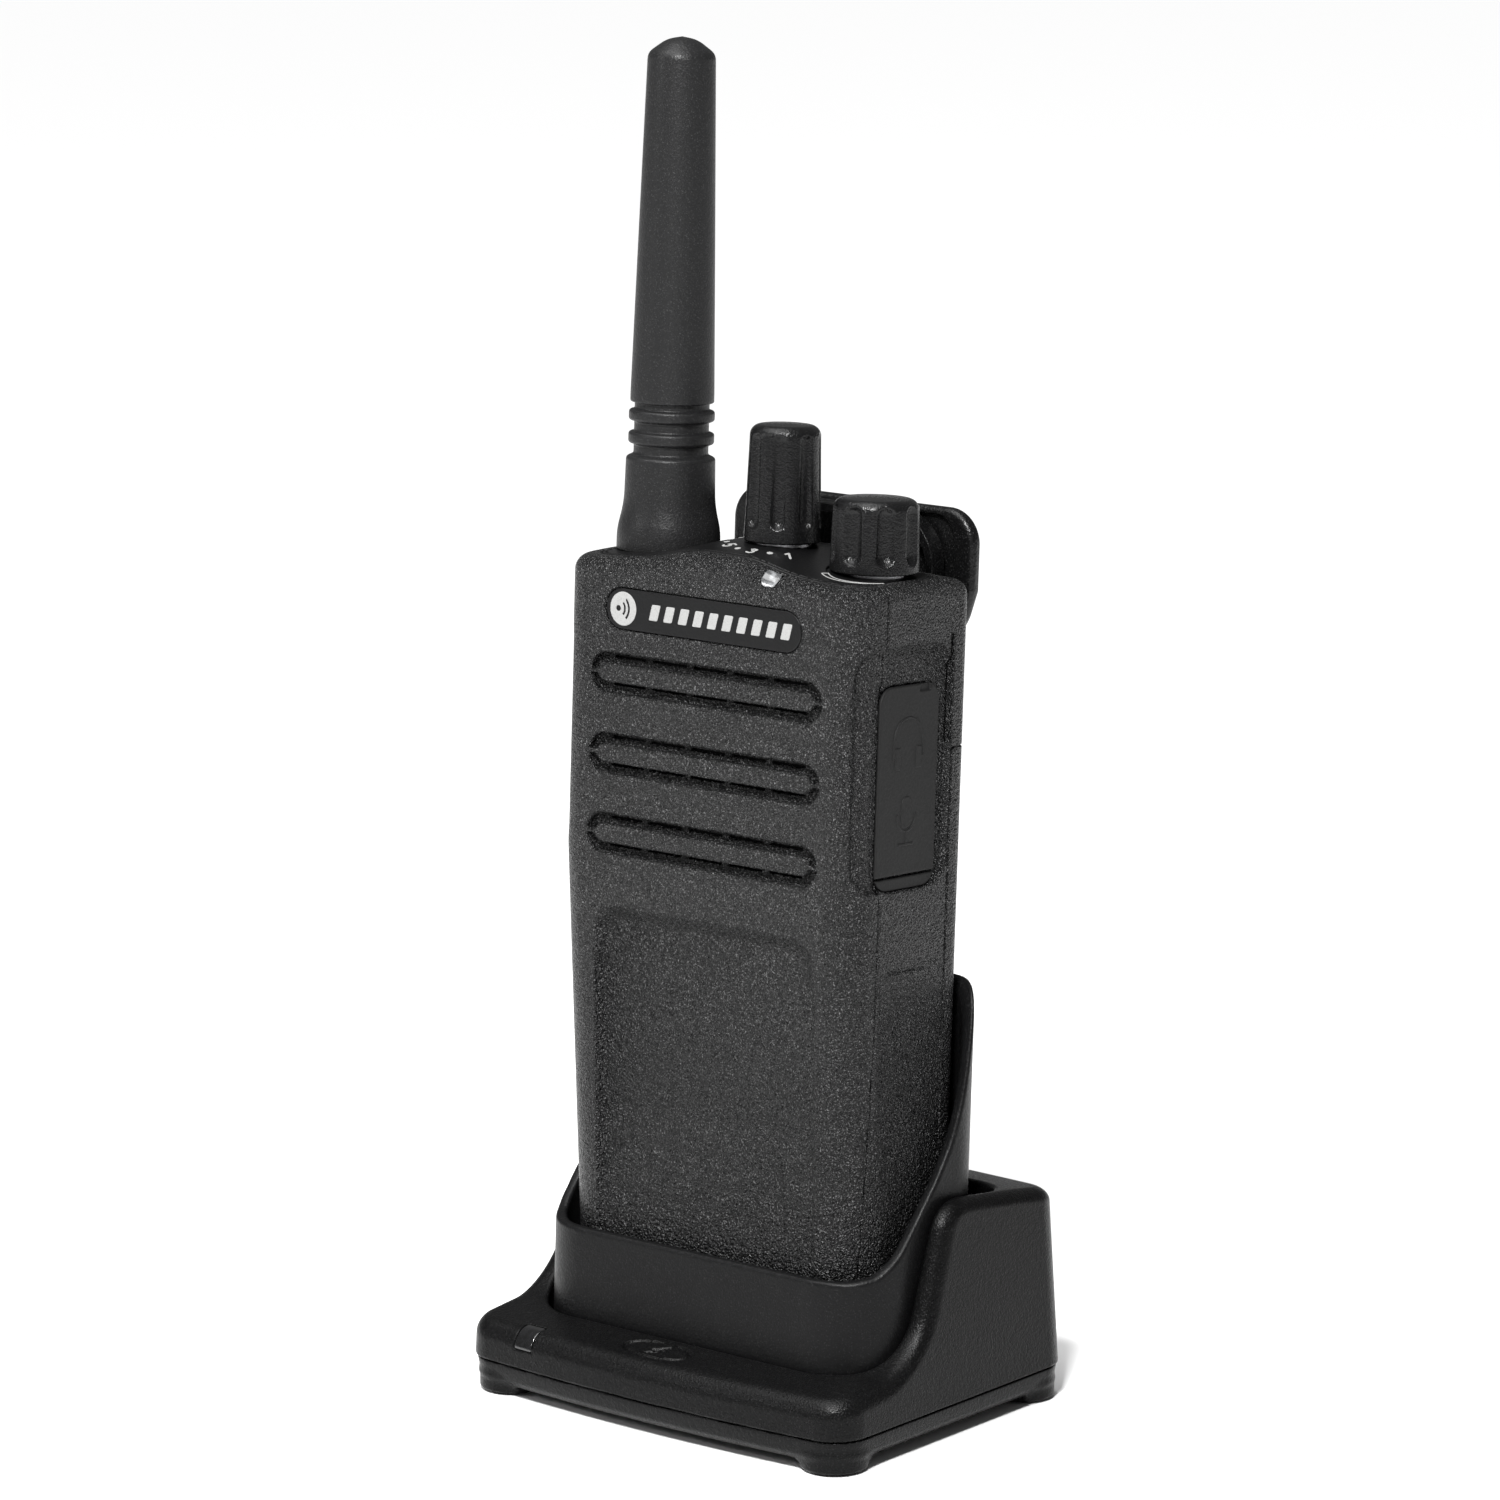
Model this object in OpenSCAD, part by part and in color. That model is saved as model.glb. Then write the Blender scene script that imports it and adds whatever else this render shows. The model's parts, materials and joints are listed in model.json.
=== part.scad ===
// Compact two-way radio seated in a drop-in charging cradle.
// Millimetres. Origin: centre of the cradle's footprint on the table, +X to the radio's
// right-hand side as drawn, +Y to the back, +Z up. The radio and the insert are modelled
// upright in their own frame (front face at y = 0, base at z = 0) and then leaned back.

/* [Radio body] */
// Width across the radio's sides
radio_w = 55.5; // [55:0.1:56]
// Height of the housing where the antenna and the volume knob stand
radio_h = 112.9; // [112.5:0.1:113.3]
// Depth from the front face to the outside of the battery door
radio_d = 26; // [26:0.1:26.6]
// Wall thickness of the radio's housings
wall = 1.8; // [1.6:0.1:1.8]
// Distance from the front face to the joint between the two housings
seam_y = 6.4; // [6:0.1:6.8]

/* [Antenna and knobs] */
// Length of the antenna above the deck
antenna_h = 73; // [50:1:90]
// Radius of the antenna sheath at its foot
antenna_r = 6.1; // [5.6:0.1:6.4]
// Height of the channel knob
channel_knob_h = 16.8; // [14:0.2:18]
// Radius of the channel knob at its foot
channel_knob_r = 5.55; // [5.4:0.05:5.8]
// Height of the volume knob
volume_knob_h = 10.6; // [9:0.2:12]
// Radius of the volume knob at its foot
volume_knob_r = 6.35; // [6:0.05:6.5]

/* [Grilles] */
// Number of sound slots in the front
grille_count = 3; // [2:1:3]
// Distance between sound slots
grille_pitch = 11.65; // [11:0.05:12]
// Half length of a sound slot's groove
grille_half_w = 21.4; // [20:0.2:22]

/* [Cradle] */
// Width of the cradle at its case joint
cradle_w = 72; // [71:0.5:74]
// Depth of the cradle at its case joint
cradle_d = 56.4; // [56:0.2:58]
// Height of the joint between the cradle's two shells
cradle_seam_z = 5.3; // [5.2:0.1:5.4]
// Height of the cradle's shoulders
shoulder_z = 35.2; // [34:0.2:37]
// Lean of the seated radio, in degrees from upright
lean = 3.37; // [3:0.01:3.7]

/* [Hidden] */
$fn = 48;
eps = 0.01;                 // thickness of a slice that a hull is made from
big = 200;                  // longer than anything here, for cutting blocks
hull_fn = 6;                // steps in a rounded corner of an outline

// Radio frame
half_w = radio_w / 2;
inner_half = half_w - wall;
seat_y = -18;               // where the radio's front bottom edge stands in the cradle
seat_z = 11.2;
slope_z = 70;               // below this the front face slopes back
slope_y = 3.9;              // by this much at the base
corner_r = 5.3;             // front corners
back_r = 3;                 // rear corners
crown = [                   // half of the top line: distance from the middle, height
    [0, 2.6], [4, 2.45], [7, 1.9], [10, 1.05], [12.5, 0.5], [16, 0.15], [20, -0.1],
    [24, -0.6], [26, -1.2], [27.2, -2.2]
];
deck_t = 0.9;               // depth that the deck plate is let into the top
lens_x = [9.4, 12.6];       // seat of the light on the front edge of the top
lens_low_z = radio_h - 1.9;
lens_back = 2.2;
door_y = 21.7;              // front edge of the battery door
door_top = 88;              // upper edge of the battery door
clip_top = 24.2;            // face that carries the belt clip's bracket
shelf_z = 68.2;             // top of the battery bay
bay_y = 11.8;               // front of the battery bay's floor
hook_y = [21, 21.6];        // slots in the sides that a carry holder hooks into
recess_d = 0.45;            // depth of the side and front recesses
recess_z = [68.9, 103.9];   // lower and upper edge of the side recesses

// Along the top
antenna_x = -19.1;
channel_x = 2.2;
volume_x = 19.1;
top_y = 13.7;               // all three stand on this line
channel_base_z = radio_h + 2.8;
volume_base_z = radio_h + 0.2;
antenna_z = radio_h + 0.1;  // where the antenna's foot meets the deck
shaft_r = 3;
bushing_r = 4.2;
run = 0.05;                 // radial running clearance of shafts and pins

// Speaker
speaker_z = 84;
speaker_r = 16.5;
grille_top_z = 95.7;
board_y = 9.2;
board_t = 1.2;

// Housing screws
screw_x = 20.3;
screw_zs = [8, 62];
screw_r = 0.9;

// Side controls, as [lower edge, upper edge]
ptt_z = [84.6, 101.6];
upper_button_z = [77.2, 82.8];
lower_button_z = [70.2, 75.8];
button_y = [7.6, 19.2];
button_gap = 0.2;

// Accessory cover on the other side
cover_y = [5.9, 19.1];
cover_z = [71.1, 98];
cover_t = 1;
jack_y = 13.8;
earphone_z = 91;
microphone_z = 79.5;
earphone_r = 1.75;
microphone_r = 1.25;

// Belt clip
hinge_y = 29.6;
hinge_z = 102;
hinge_r = 1.2;
arm_y = 31.8;               // inner face of the arm
arm_t = 2.4;
arm_low_z = 58;
arm_high_z = 120.6;
rib_y = 29.2;               // front of the arched rib on the arm's inner side

// Insert
insert_half = 31.6;
insert_front = 0.6;
insert_back = 29.7;
insert_wall = 1.7;
insert_floor = [-2.8, -0.3];
insert_front_r = 10.4;
insert_back_r = 8.4;
lip_z = 12.6;
insert_top_z = 54.5;
pocket_gap = 0.5;

// Cradle
cradle_bottom_z = 1.6;
cradle_corner_r = 5;
draft = 1.2;                // how far the walls lean in over the height of the shoulders
bulge = 1.9;                // how far the front and back edges bow out
platform_z = 12.4;
shell_t = 1.9;
foot_x = 30.4;
foot_ys = [-21.4, 21.6];
foot_r = 4;
post_x = 25;
post_ys = [-20.8, 21.5];
screw_head_z = 2.2;
inlet_z = 11.5;
inlet_r = 2.9;
pin_x = 7;
pin_y = 14;
pin_r = 0.8;
pin_top = -0.05;
window = [12.05, 10.95, 17.05]; // half width, front and back of the contact window

// ---- outlines with rounded corners -------------------------------------------------

function unit(v) = v / norm(v);

// The arc that rounds corner b between a and c with radius r
function corner_arc(a, b, c, r, n) =
    r <= 0 ? [b] :
    let (
        u = unit(a - b), v = unit(c - b),
        half = acos(u * v) / 2,
        p = b + u * r / tan(half), q = b + v * r / tan(half),
        m = b + unit(u + v) * r / sin(half),
        start = atan2(p[1] - m[1], p[0] - m[0]),
        end = atan2(q[1] - m[1], q[0] - m[0]),
        sweep = (end - start + 540) % 360 - 180
    )
    [for (i = [0 : n]) m + r * [cos(start + sweep * i / n), sin(start + sweep * i / n)]];

// corners are [x, y, radius]
function rounded(corners, n = hull_fn) = [
    for (i = [0 : len(corners) - 1])
        let (
            k = len(corners),
            a = corners[(i + k - 1) % k], b = corners[i], c = corners[(i + 1) % k]
        )
        each corner_arc([a[0], a[1]], [b[0], b[1]], [c[0], c[1]], b[2], n)
];

// A rectangle in plan with one radius at the front and one at the back
module plan(half, front, back, front_r, rear_r) {
    polygon(rounded([
        [-half, front, front_r], [half, front, front_r],
        [half, back, rear_r], [-half, back, rear_r]
    ]));
}

module slice(z) {
    translate([0, 0, z]) linear_extrude(eps) children();
}

// Extrudes an outline drawn in (y, z) along x, from x0 to x1
module along_x(x0, x1) {
    translate([x0, 0, 0]) rotate([90, 0, 90]) linear_extrude(x1 - x0) children();
}

// Extrudes an outline drawn in (x, z) along y, from y0 to y1
module along_y(y0, y1) {
    translate([0, y1, 0]) rotate([90, 0, 0]) linear_extrude(y1 - y0) children();
}

module cyl_y(r, y0, y1) {
    translate([0, y1, 0]) rotate([90, 0, 0]) cylinder(r = r, h = y1 - y0);
}

module cyl_x(r, x0, x1) {
    translate([x0, 0, 0]) rotate([0, 90, 0]) cylinder(r = r, h = x1 - x0);
}

// A block given by its low and high corners
module block(low, high) {
    translate(low) cube(high - low);
}

module stadium(half, r) {
    square([2 * (half - r), 2 * r], center = true);
    for (side = [-1, 1]) translate([side * (half - r), 0]) circle(r);
}

// A round wire wound into a helix along z, as one swept surface
module coil(r, wire, z0, z1, turns, steps = 12, sides = 6) {
    rings = turns * steps;
    points = [
        for (i = [0 : rings], j = [0 : sides - 1])
            let (
                a = 360 * i / steps,
                out = r + wire * cos(360 * j / sides),
                up = wire * sin(360 * j / sides)
            )
            [out * cos(a), out * sin(a), z0 + (z1 - z0) * i / rings + up]
    ];
    walls = [
        for (i = [0 : rings - 1], j = [0 : sides - 1])
            let (k = (j + 1) % sides, p = i * sides, q = p + sides)
            each [[p + j, p + k, q + k], [p + j, q + k, q + j]]
    ];
    ends = [
        [for (j = [sides - 1 : -1 : 0]) j],
        [for (j = [0 : sides - 1]) rings * sides + j]
    ];
    polyhedron(points, [for (f = concat(walls, ends)) [for (i = [len(f) - 1 : -1 : 0]) f[i]]]);
}

// Places what is drawn in the radio's own frame in the cradle
module seated() {
    translate([0, seat_y, seat_z]) rotate([-lean, 0, 0]) children();
}

// ---- cradle ------------------------------------------------------------------------

module cradle_plan(inset = 0) {
    half = cradle_w / 2 - inset;
    deep = cradle_d / 2 - inset;
    polygon(rounded([
        [-half, bulge - deep, cradle_corner_r], [0, -deep, 120],
        [half, bulge - deep, cradle_corner_r], [half, deep - bulge, cradle_corner_r],
        [0, deep, 120], [-half, deep - bulge, cradle_corner_r]
    ]));
}

// The drafted block that the top shell is cut from
module cradle_block(inset = 0, low = cradle_seam_z) {
    hull() {
        slice(low) cradle_plan(inset);
        slice(shoulder_z + 1) cradle_plan(inset + draft);
    }
}

// Side view of the top shell: platform, rise to the shoulder, and the sloping back
module cradle_profile(drop = 0) {
    polygon(rounded([
        [-40, -2, 0], [-40, 8, 0], [-26.2 + drop, 10.7 - drop, 3],
        [-8.75 + drop * 1.4, platform_z - drop, 6], [-0.4 + drop * 1.4, shoulder_z - drop, 5],
        [20, shoulder_z - 1.3 - drop, 12], [26.6 - drop, shoulder_z - 2.8 - drop, 2.2],
        [27.6 - drop, 20, 0], [40, 8, 0], [40, -2, 0]
    ]));
}

// The space for the insert, grown by extra on every side
module insert_pocket(extra = 0, floor_z = insert_floor[0]) {
    seated() translate([0, 0, floor_z - extra]) linear_extrude(70)
        plan(
            insert_half + pocket_gap + extra, insert_front - pocket_gap - extra,
            insert_back + pocket_gap + extra, insert_front_r + extra, insert_back_r + extra
        );
    translate([0, 0, 24 - extra]) linear_extrude(20)
        plan(insert_half + pocket_gap + extra, -12, 17.5 + extra, 2, 7 + extra);
}

module contact_window(grow = 0, low = -12, high = 4) {
    block(
        [-window[0] - grow, window[1] - grow, low],
        [window[0] + grow, window[2] + grow, high]
    );
}

lens_box = [[-25, -27.6, 8.2], [-21.4, -23.8, 12]];

module cradle_top_shell() {
    color([0.055, 0.055, 0.06]) difference() {
        union() {
            difference() {
                intersection() {
                    cradle_block();
                    along_x(-big, big) cradle_profile();
                }
                difference() {
                    intersection() {
                        cradle_block(shell_t, cradle_seam_z - 1);
                        along_x(-big, big) cradle_profile(shell_t);
                    }
                    insert_pocket(1.6);
                }
            }
            for (side = [-1, 1]) scale([side, 1, 1]) {
                translate([post_x, post_ys[0], cradle_seam_z]) cylinder(r = 2.6, h = 4.9);
                translate([post_x, post_ys[1], cradle_seam_z]) cylinder(r = 2.6, h = 9);
                block([post_x + 2, post_ys[1] - 0.8, cradle_seam_z],
                    [34.4, post_ys[1] + 0.8, 14]);
            }
        }
        insert_pocket();
        seated() contact_window();
        block(lens_box[0], lens_box[1]);
        translate([0, 0, inlet_z]) cyl_y(4.45, 20, 40);
        cradle_screw_places() translate([0, 0, 4]) cylinder(r = 1.1, h = 5.4);
    }
}

module cradle_screw_places() {
    for (side = [-1, 1], y = post_ys) translate([side * post_x, y, 0]) children();
}

module cradle_bottom_shell() {
    color([0.045, 0.045, 0.05]) difference() {
        union() {
            difference() {
                hull() {
                    slice(cradle_bottom_z) cradle_plan(1.6);
                    slice(cradle_bottom_z + 1.2) cradle_plan(0.7);
                    slice(cradle_seam_z - 0.3) cradle_plan(0.25);
                }
                translate([0, 0, cradle_bottom_z + 1.2]) linear_extrude(10)
                    cradle_plan(shell_t + 0.3);
            }
            cradle_screw_places() translate([0, 0, cradle_bottom_z + 0.4])
                cylinder(r = 3.6, h = 3.1);
        }
        // shallow arches between the feet
        for (turn = [0, 180]) rotate([0, 0, turn]) translate([0, -cradle_d / 2, -60.2])
            rotate([-90, 0, 0]) translate([0, 0, -2]) cylinder(r = 62.8, h = 6, $fn = 160);
        cradle_screw_places() {
            cylinder(r = 2.4, h = screw_head_z + 1.2);
            cylinder(r = 1.2, h = 6);
        }
        for (side = [-1, 1], y = foot_ys) translate([side * foot_x, y, 0])
            cylinder(r = foot_r - 1, h = 2.2);
    }
}

module cradle_feet() {
    color([0.03, 0.03, 0.03])
        for (side = [-1, 1], y = foot_ys) translate([side * foot_x, y, 0]) {
            rotate_extrude() polygon(rounded([
                [0, 0, 0], [foot_r, 0, 0.5], [foot_r, cradle_bottom_z, 0], [0, cradle_bottom_z, 0]
            ], 3));
            translate([0, 0, cradle_bottom_z]) cylinder(r = foot_r - 1.05, h = 0.55);
        }
}

module cradle_screws() {
    color([0.5, 0.5, 0.52])
        cradle_screw_places() translate([0, 0, screw_head_z]) difference() {
            union() {
                cylinder(r = 2.2, h = 1.15);
                translate([0, 0, 1]) cylinder(r = 1.05, h = 5.6);
            }
            for (turn = [0, 90]) rotate([0, 0, turn]) block([-1.3, -0.25, -1], [1.3, 0.25, 0.7]);
        }
}

module cradle_circuit_board() {
    color([0.05, 0.3, 0.12]) difference() {
        block([-21, -14, 3.1], [21, 24.6, 4.1]);
        for (side = [-1, 1]) translate([side * 18.5, -11.5, 2]) cylinder(r = 1.2, h = 4);
    }
}

module cradle_dc_inlet() {
    color([0.04, 0.04, 0.04]) {
        difference() {
            union() {
                block([-4.5, 15.8, 4.1], [4.5, 25, 16]);
                translate([0, 0, inlet_z]) cyl_y(4.3, 24, 26.6);
            }
            translate([0, 0, inlet_z]) cyl_y(inlet_r, 17.5, 40);
        }
        translate([0, 0, inlet_z]) cyl_y(0.65, 17, 25.5);
    }
}

module cradle_status_lens() {
    color([0.1, 0.1, 0.11]) intersection() {
        cradle_block(0.05);
        along_x(lens_box[0][0] + run, lens_box[1][0] - run) intersection() {
            translate([0, -0.05]) cradle_profile();
            translate([lens_box[0][1], lens_box[0][2] + run]) square([3.75, 5]);
        }
    }
}

module cradle_contact_block() {
    color([0.08, 0.08, 0.08]) seated() difference() {
        contact_window(-run, -5.6, -3);
        for (side = [-1, 1]) translate([side * pin_x, pin_y, 0]) {
            translate([0, 0, -7]) cylinder(r = pin_r + run, h = 6);
            translate([0, 0, -7]) cylinder(r = 1.35, h = 3.1);
        }
    }
}

module charge_pin(side) {
    color("gold") seated() translate([side * pin_x, pin_y, 0]) rotate_extrude() polygon([
        [0, -5.15], [0.55, -5.15], [0.55, -4.5], [1.25, -4.5], [1.25, -3.98],
        [pin_r, -3.98], [pin_r, pin_top - 0.4], [0.4, pin_top], [0, pin_top]
    ]);
}

module charge_pin_left() { charge_pin(-1); }
module charge_pin_right() { charge_pin(1); }

module charge_pin_springs() {
    color("silver") seated() for (side = [-1, 1])
        translate([side * pin_x, pin_y, 0]) coil(1.0, 0.12, -5.4, -4.64, 2);
}

// ---- insert ------------------------------------------------------------------------

// Side view of the rim: low lip in front, a rising sweep, and the high back
module insert_profile() {
    polygon(rounded([
        [-5, -10, 0], [-5, lip_z, 0], [5, lip_z, 14], [19, 29.5, 26],
        [26.4, 50.5, 10], [28.5, insert_top_z, 3], [40, insert_top_z, 0], [40, -10, 0]
    ], 8));
}

module cradle_insert() {
    color([0.06, 0.06, 0.065]) seated() difference() {
        intersection() {
            translate([0, 0, insert_floor[0]]) linear_extrude(70)
                plan(insert_half, insert_front, insert_back, insert_front_r, insert_back_r);
            along_x(-big, big) insert_profile();
        }
        translate([0, 0, insert_floor[1]]) linear_extrude(70)
            plan(
                insert_half - insert_wall, insert_front + insert_wall,
                insert_back - insert_wall, insert_front_r - insert_wall,
                insert_back_r - insert_wall
            );
        contact_window(0.4);
    }
}

// ---- radio housings ----------------------------------------------------------------

// Side view of the radio: sloping lower front, rounded top edges, raised middle
module side_view(inset = 0) {
    back = radio_d - inset;
    top = radio_h - inset;
    polygon([
        [slope_y + inset + 0.7, inset], [slope_y + inset, inset + 0.7], [inset, slope_z],
        [inset, top - 2.6], [inset + 0.6, top - 1.2], [inset + 1.8, top - 0.2],
        [inset + 3, top + 0.6], [inset + 6, top + 1.7], [inset + 10, top + 2.4],
        [inset + 13.7, top + 2.6], [back - 6, top + 2.3], [back - 2.5, top + 1.3],
        [back - 0.8, top - 0.1], [back, top - 1.5], [back, inset + 0.7], [back - 0.7, inset]
    ]);
}

// Front view of the radio: straight sides and a crowned top
module front_view(inset = 0) {
    half = half_w - inset;
    top = radio_h - inset;
    shrink = half / half_w;
    last = len(crown) - 1;
    polygon(concat(
        [[half, top - 3.6]],
        [for (i = [last : -1 : 1]) [crown[i][0] * shrink, top + crown[i][1]]],
        [for (i = [0 : last]) [-crown[i][0] * shrink, top + crown[i][1]]],
        [[-half, top - 3.6], [-half, inset + 0.7], [0.7 - half, inset], [half - 0.7, inset],
            [half, inset + 0.7]]
    ));
}

// Planes that take more off the two front corners towards the base
module base_corners(inset = 0) {
    for (side = [-1, 1]) scale([side, 1, 1])
        translate([half_w - inset, slope_y + inset, 0]) rotate([0, 0, 45])
            along_x(-big, big) polygon([
                [-big, -1], [3.56, -1], [-0.56, slope_z], [-big, slope_z]
            ]);
}

// The radio's outside as one solid, drawn in by inset on every side
module outer_form(inset = 0) {
    difference() {
        intersection() {
            linear_extrude(big) plan(half_w - inset, inset, radio_d - inset,
                corner_r - inset, back_r - inset * 0.6);
            along_x(-big, big) side_view(inset);
            along_y(-big, big) front_view(inset);
        }
        base_corners(inset);
    }
}

// The space let into the top that the deck plate fills, smaller by gap
module deck_space(gap = 0) {
    difference() {
        translate([0, 0, radio_h - 6]) linear_extrude(20)
            plan(half_w - 3 - gap, 3 + gap, 22.8 - gap, 4.2, 4.2);
        outer_form(deck_t - gap);
    }
}

// Round holes through the top for the two bushings and the antenna's foot
module top_holes(low) {
    for (x = [channel_x, volume_x]) translate([x, top_y, low])
        cylinder(r = bushing_r + 0.1, h = 20);
    translate([antenna_x, top_y, low]) cylinder(r = 3.6, h = 20);
    translate([antenna_x, top_y, antenna_z - 0.05]) cylinder(r = 7.5, h = 20);
    translate([volume_x, top_y, volume_base_z - 0.15]) cylinder(r = 6.9, h = 20);
}

// Where the skin is set back: both sides, and the lower front
module recess_zones() {
    for (side = [-1, 1]) scale([side, 1, 1])
        block([25.4, 0.6, recess_z[0]], [big, door_y, recess_z[1]]);
    block([-20.3, -5, -5], [21, 8, 59.5]);
}

module skin_recesses() {
    difference() {
        intersection() {
            outer_form(-0.3);
            recess_zones();
        }
        outer_form(recess_d);
    }
}

// One sound slot: a racetrack groove round a long island, with slits through its floor
module grille_cut(z) {
    translate([0, 0, z]) {
        along_y(-1, 0.8) difference() {
            stadium(grille_half_w, 2.9);
            polygon([
                [-grille_half_w + 1.4, 0], [-grille_half_w + 3.4, 1.75],
                [grille_half_w - 3.4, 1.75], [grille_half_w - 1.4, 0],
                [grille_half_w - 3.4, -1.75], [-grille_half_w + 3.4, -1.75]
            ]);
        }
        for (side = [-1, 1]) block(
            [-grille_half_w + 4.5, -1, side * 2.3 - 0.3],
            [grille_half_w - 4.5, wall + 1, side * 2.3 + 0.3]
        );
    }
}

module screw_holes(r, y0, y1) {
    for (side = [-1, 1], z = screw_zs) translate([side * screw_x, 0, z]) cyl_y(r, y0, y1);
}

module front_housing() {
    color([0.045, 0.045, 0.048]) seated() {
        difference() {
            outer_form();
            outer_form(wall);
            block([-big, seam_y, -big], [big, big, big]);
            skin_recesses();
            deck_space();
            for (i = [0 : grille_count - 1]) grille_cut(grille_top_z - i * grille_pitch);
            translate([-0.75, 0, 105.15]) along_y(-1, 0.5) stadium(18.2, 3.1);
            block([lens_x[0], -1, lens_low_z], [lens_x[1], lens_back, big]);
            block([half_w - cover_t - 0.1, cover_y[0] - 0.1, cover_z[0] - 2.2],
                [big, big, cover_z[1] + 0.2]);
        }
        for (side = [-1, 1], z = screw_zs) translate([side * screw_x, 0, z]) difference() {
            cyl_y(2.1, z < 20 ? 5.3 : 1.9, board_y);
            cyl_y(screw_r + run, 5.6, board_y + 1);
        }
    }
}

module rear_housing() {
    color([0.04, 0.04, 0.043]) seated() {
        difference() {
            union() {
                difference() {
                    outer_form();
                    outer_form(wall);
                    block([-big, -big, -big], [big, seam_y, big]);
                    block([-big, door_y, -big], [big, big, door_top + 0.4]);
                    block([-big, clip_top, -big], [big, big, big]);
                }
                intersection() {
                    outer_form(0.9);
                    union() {
                        block([-big, bay_y, 0], [big, bay_y + 1, shelf_z]);
                        block([-big, bay_y, shelf_z], [big, door_y, shelf_z + 1.2]);
                        block([-big, door_y - 1.5, shelf_z], [big, door_y, door_top + 1.5]);
                        block([-big, door_y - 1.5, door_top + 0.1],
                            [big, clip_top, door_top + 1.5]);
                        block([-big, clip_top - 1.8, door_top], [big, clip_top, radio_h]);
                    }
                }
            }
            skin_recesses();
            deck_space();
            top_holes(100);
            screw_holes(screw_r + 0.2, bay_y - 1, bay_y + 2);
            // openings for the PTT button and the two side buttons
            for (z = [ptt_z, upper_button_z, lower_button_z])
                block([-big, button_y[0] - button_gap, z[0] - button_gap],
                    [-20, button_y[1] + button_gap, z[1] + button_gap]);
            // seat for the accessory cover, and the way to the two jacks
            block([half_w - cover_t - 0.1, cover_y[0] - 0.1, cover_z[0] - 2.2],
                [big, cover_y[1] + 0.1, cover_z[1] + 0.2]);
            translate([0, jack_y, earphone_z]) cyl_x(3.05, 20, 40);
            translate([0, jack_y, microphone_z]) cyl_x(2.55, 20, 40);
            // hooks for a carry holder
            for (side = [-1, 1]) scale([side, 1, 1])
                block([half_w - 1, hook_y[0], door_top + 1.2], [big, hook_y[1], 104.6]);
            for (side = [-1, 1]) translate([side * 8, 14, 0])
                block([-2.05, -1.55, -1], [2.05, 1.55, 3]);
            // seats for the clip bracket's screws
            for (side = [-1, 1]) translate([side * 17, 0, 94]) cyl_y(screw_r + run, 20, 30);
        }
    }
}

module top_deck_plate() {
    color([0.03, 0.03, 0.032]) seated() difference() {
        intersection() {
            outer_form();
            deck_space(run);
        }
        top_holes(100);
    }
}

module name_plate() {
    color([0.035, 0.035, 0.037]) seated() translate([-0.75, 0, 105.15])
        along_y(0.02, 0.48) stadium(18, 2.9);
}

module status_lens() {
    color([0.8, 0.8, 0.82]) seated() intersection() {
        outer_form(0.02);
        block([lens_x[0] + run, -1, lens_low_z + run], [lens_x[1] - run, lens_back - run, big]);
    }
}

module battery_door() {
    color([0.04, 0.04, 0.043]) seated() difference() {
        outer_form();
        block([-big, -big, -big], [big, door_y + run, big]);
        block([-big, -big, door_top], [big, big, big]);
        intersection() {
            outer_form(wall);
            block([-big, door_y - 1, -big], [big, radio_d - wall, door_top - 1.4]);
        }
        block([-7.2, 25, 3.4], [7.2, 30, 15.6]);
    }
}

module battery_latch() {
    color([0.05, 0.05, 0.05]) seated() difference() {
        block([-6.5, 25.05, 4], [6.5, radio_d - 0.05, 11.4]);
        for (i = [0 : 3]) block([-5, radio_d - 0.4, 5.2 + i * 1.5], [5, 30, 5.8 + i * 1.5]);
    }
}

// ---- inside the radio --------------------------------------------------------------

module speaker_mesh() {
    color([0.02, 0.02, 0.02]) seated() block([-22, wall + 0.1, slope_z], [22, wall + 0.4, 100]);
}

module speaker_frame() {
    color([0.35, 0.35, 0.37]) seated() translate([0, wall + 0.5, speaker_z])
        rotate([-90, 0, 0]) rotate_extrude() polygon([
            [0, 3.4], [6.4, 3.4], [6.4, 3], [14.6, 1.5], [14.6, 0], [speaker_r, 0],
            [speaker_r, 2.4], [9.5, 4], [9.5, 6.6], [0, 6.6]
        ]);
}

module speaker_cone() {
    color([0.1, 0.1, 0.1]) seated() translate([0, wall + 0.5, speaker_z])
        rotate([-90, 0, 0]) rotate_extrude() polygon([
            [0, 1.2], [3, 1.6], [5.6, 2.6], [14.4, 0.3], [14.4, 0.7], [5.6, 3.1],
            [3, 2.1], [0, 1.7]
        ]);
}

module microphone() {
    color("silver") seated() translate([14, 0, 61]) cyl_y(2, 6.4, board_y);
}

module main_circuit_board() {
    color([0.05, 0.32, 0.13]) seated() difference() {
        block([-24.4, board_y, 4], [24.4, board_y + board_t, 101]);
        block([-big, 0, 69.4], [-20.6, big, 101.1]);
        screw_holes(screw_r + 0.4, 5, 15);
    }
}

module rf_shield() {
    color([0.75, 0.75, 0.76]) seated() difference() {
        block([-18, board_y + board_t, 72], [10.5, board_y + board_t + 2.4, 98]);
        block([-17.7, 0, 72.3], [10.2, board_y + board_t + 2.1, 97.7]);
    }
}

module housing_gasket() {
    color([0.15, 0.15, 0.16]) seated() difference() {
        intersection() {
            outer_form(wall + 0.05);
            block([-big, seam_y - 0.5, -big], [big, seam_y + 0.5, 100]);
        }
        outer_form(wall + 0.9);
        screw_holes(2.3, 0, 20);
        block([15, 0, cover_z[0] - 3], [big, big, cover_z[1] + 1]);
        block([-big, 0, lower_button_z[0] - 2], [-15, big, ptt_z[1] + 2]);
    }
}

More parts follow.
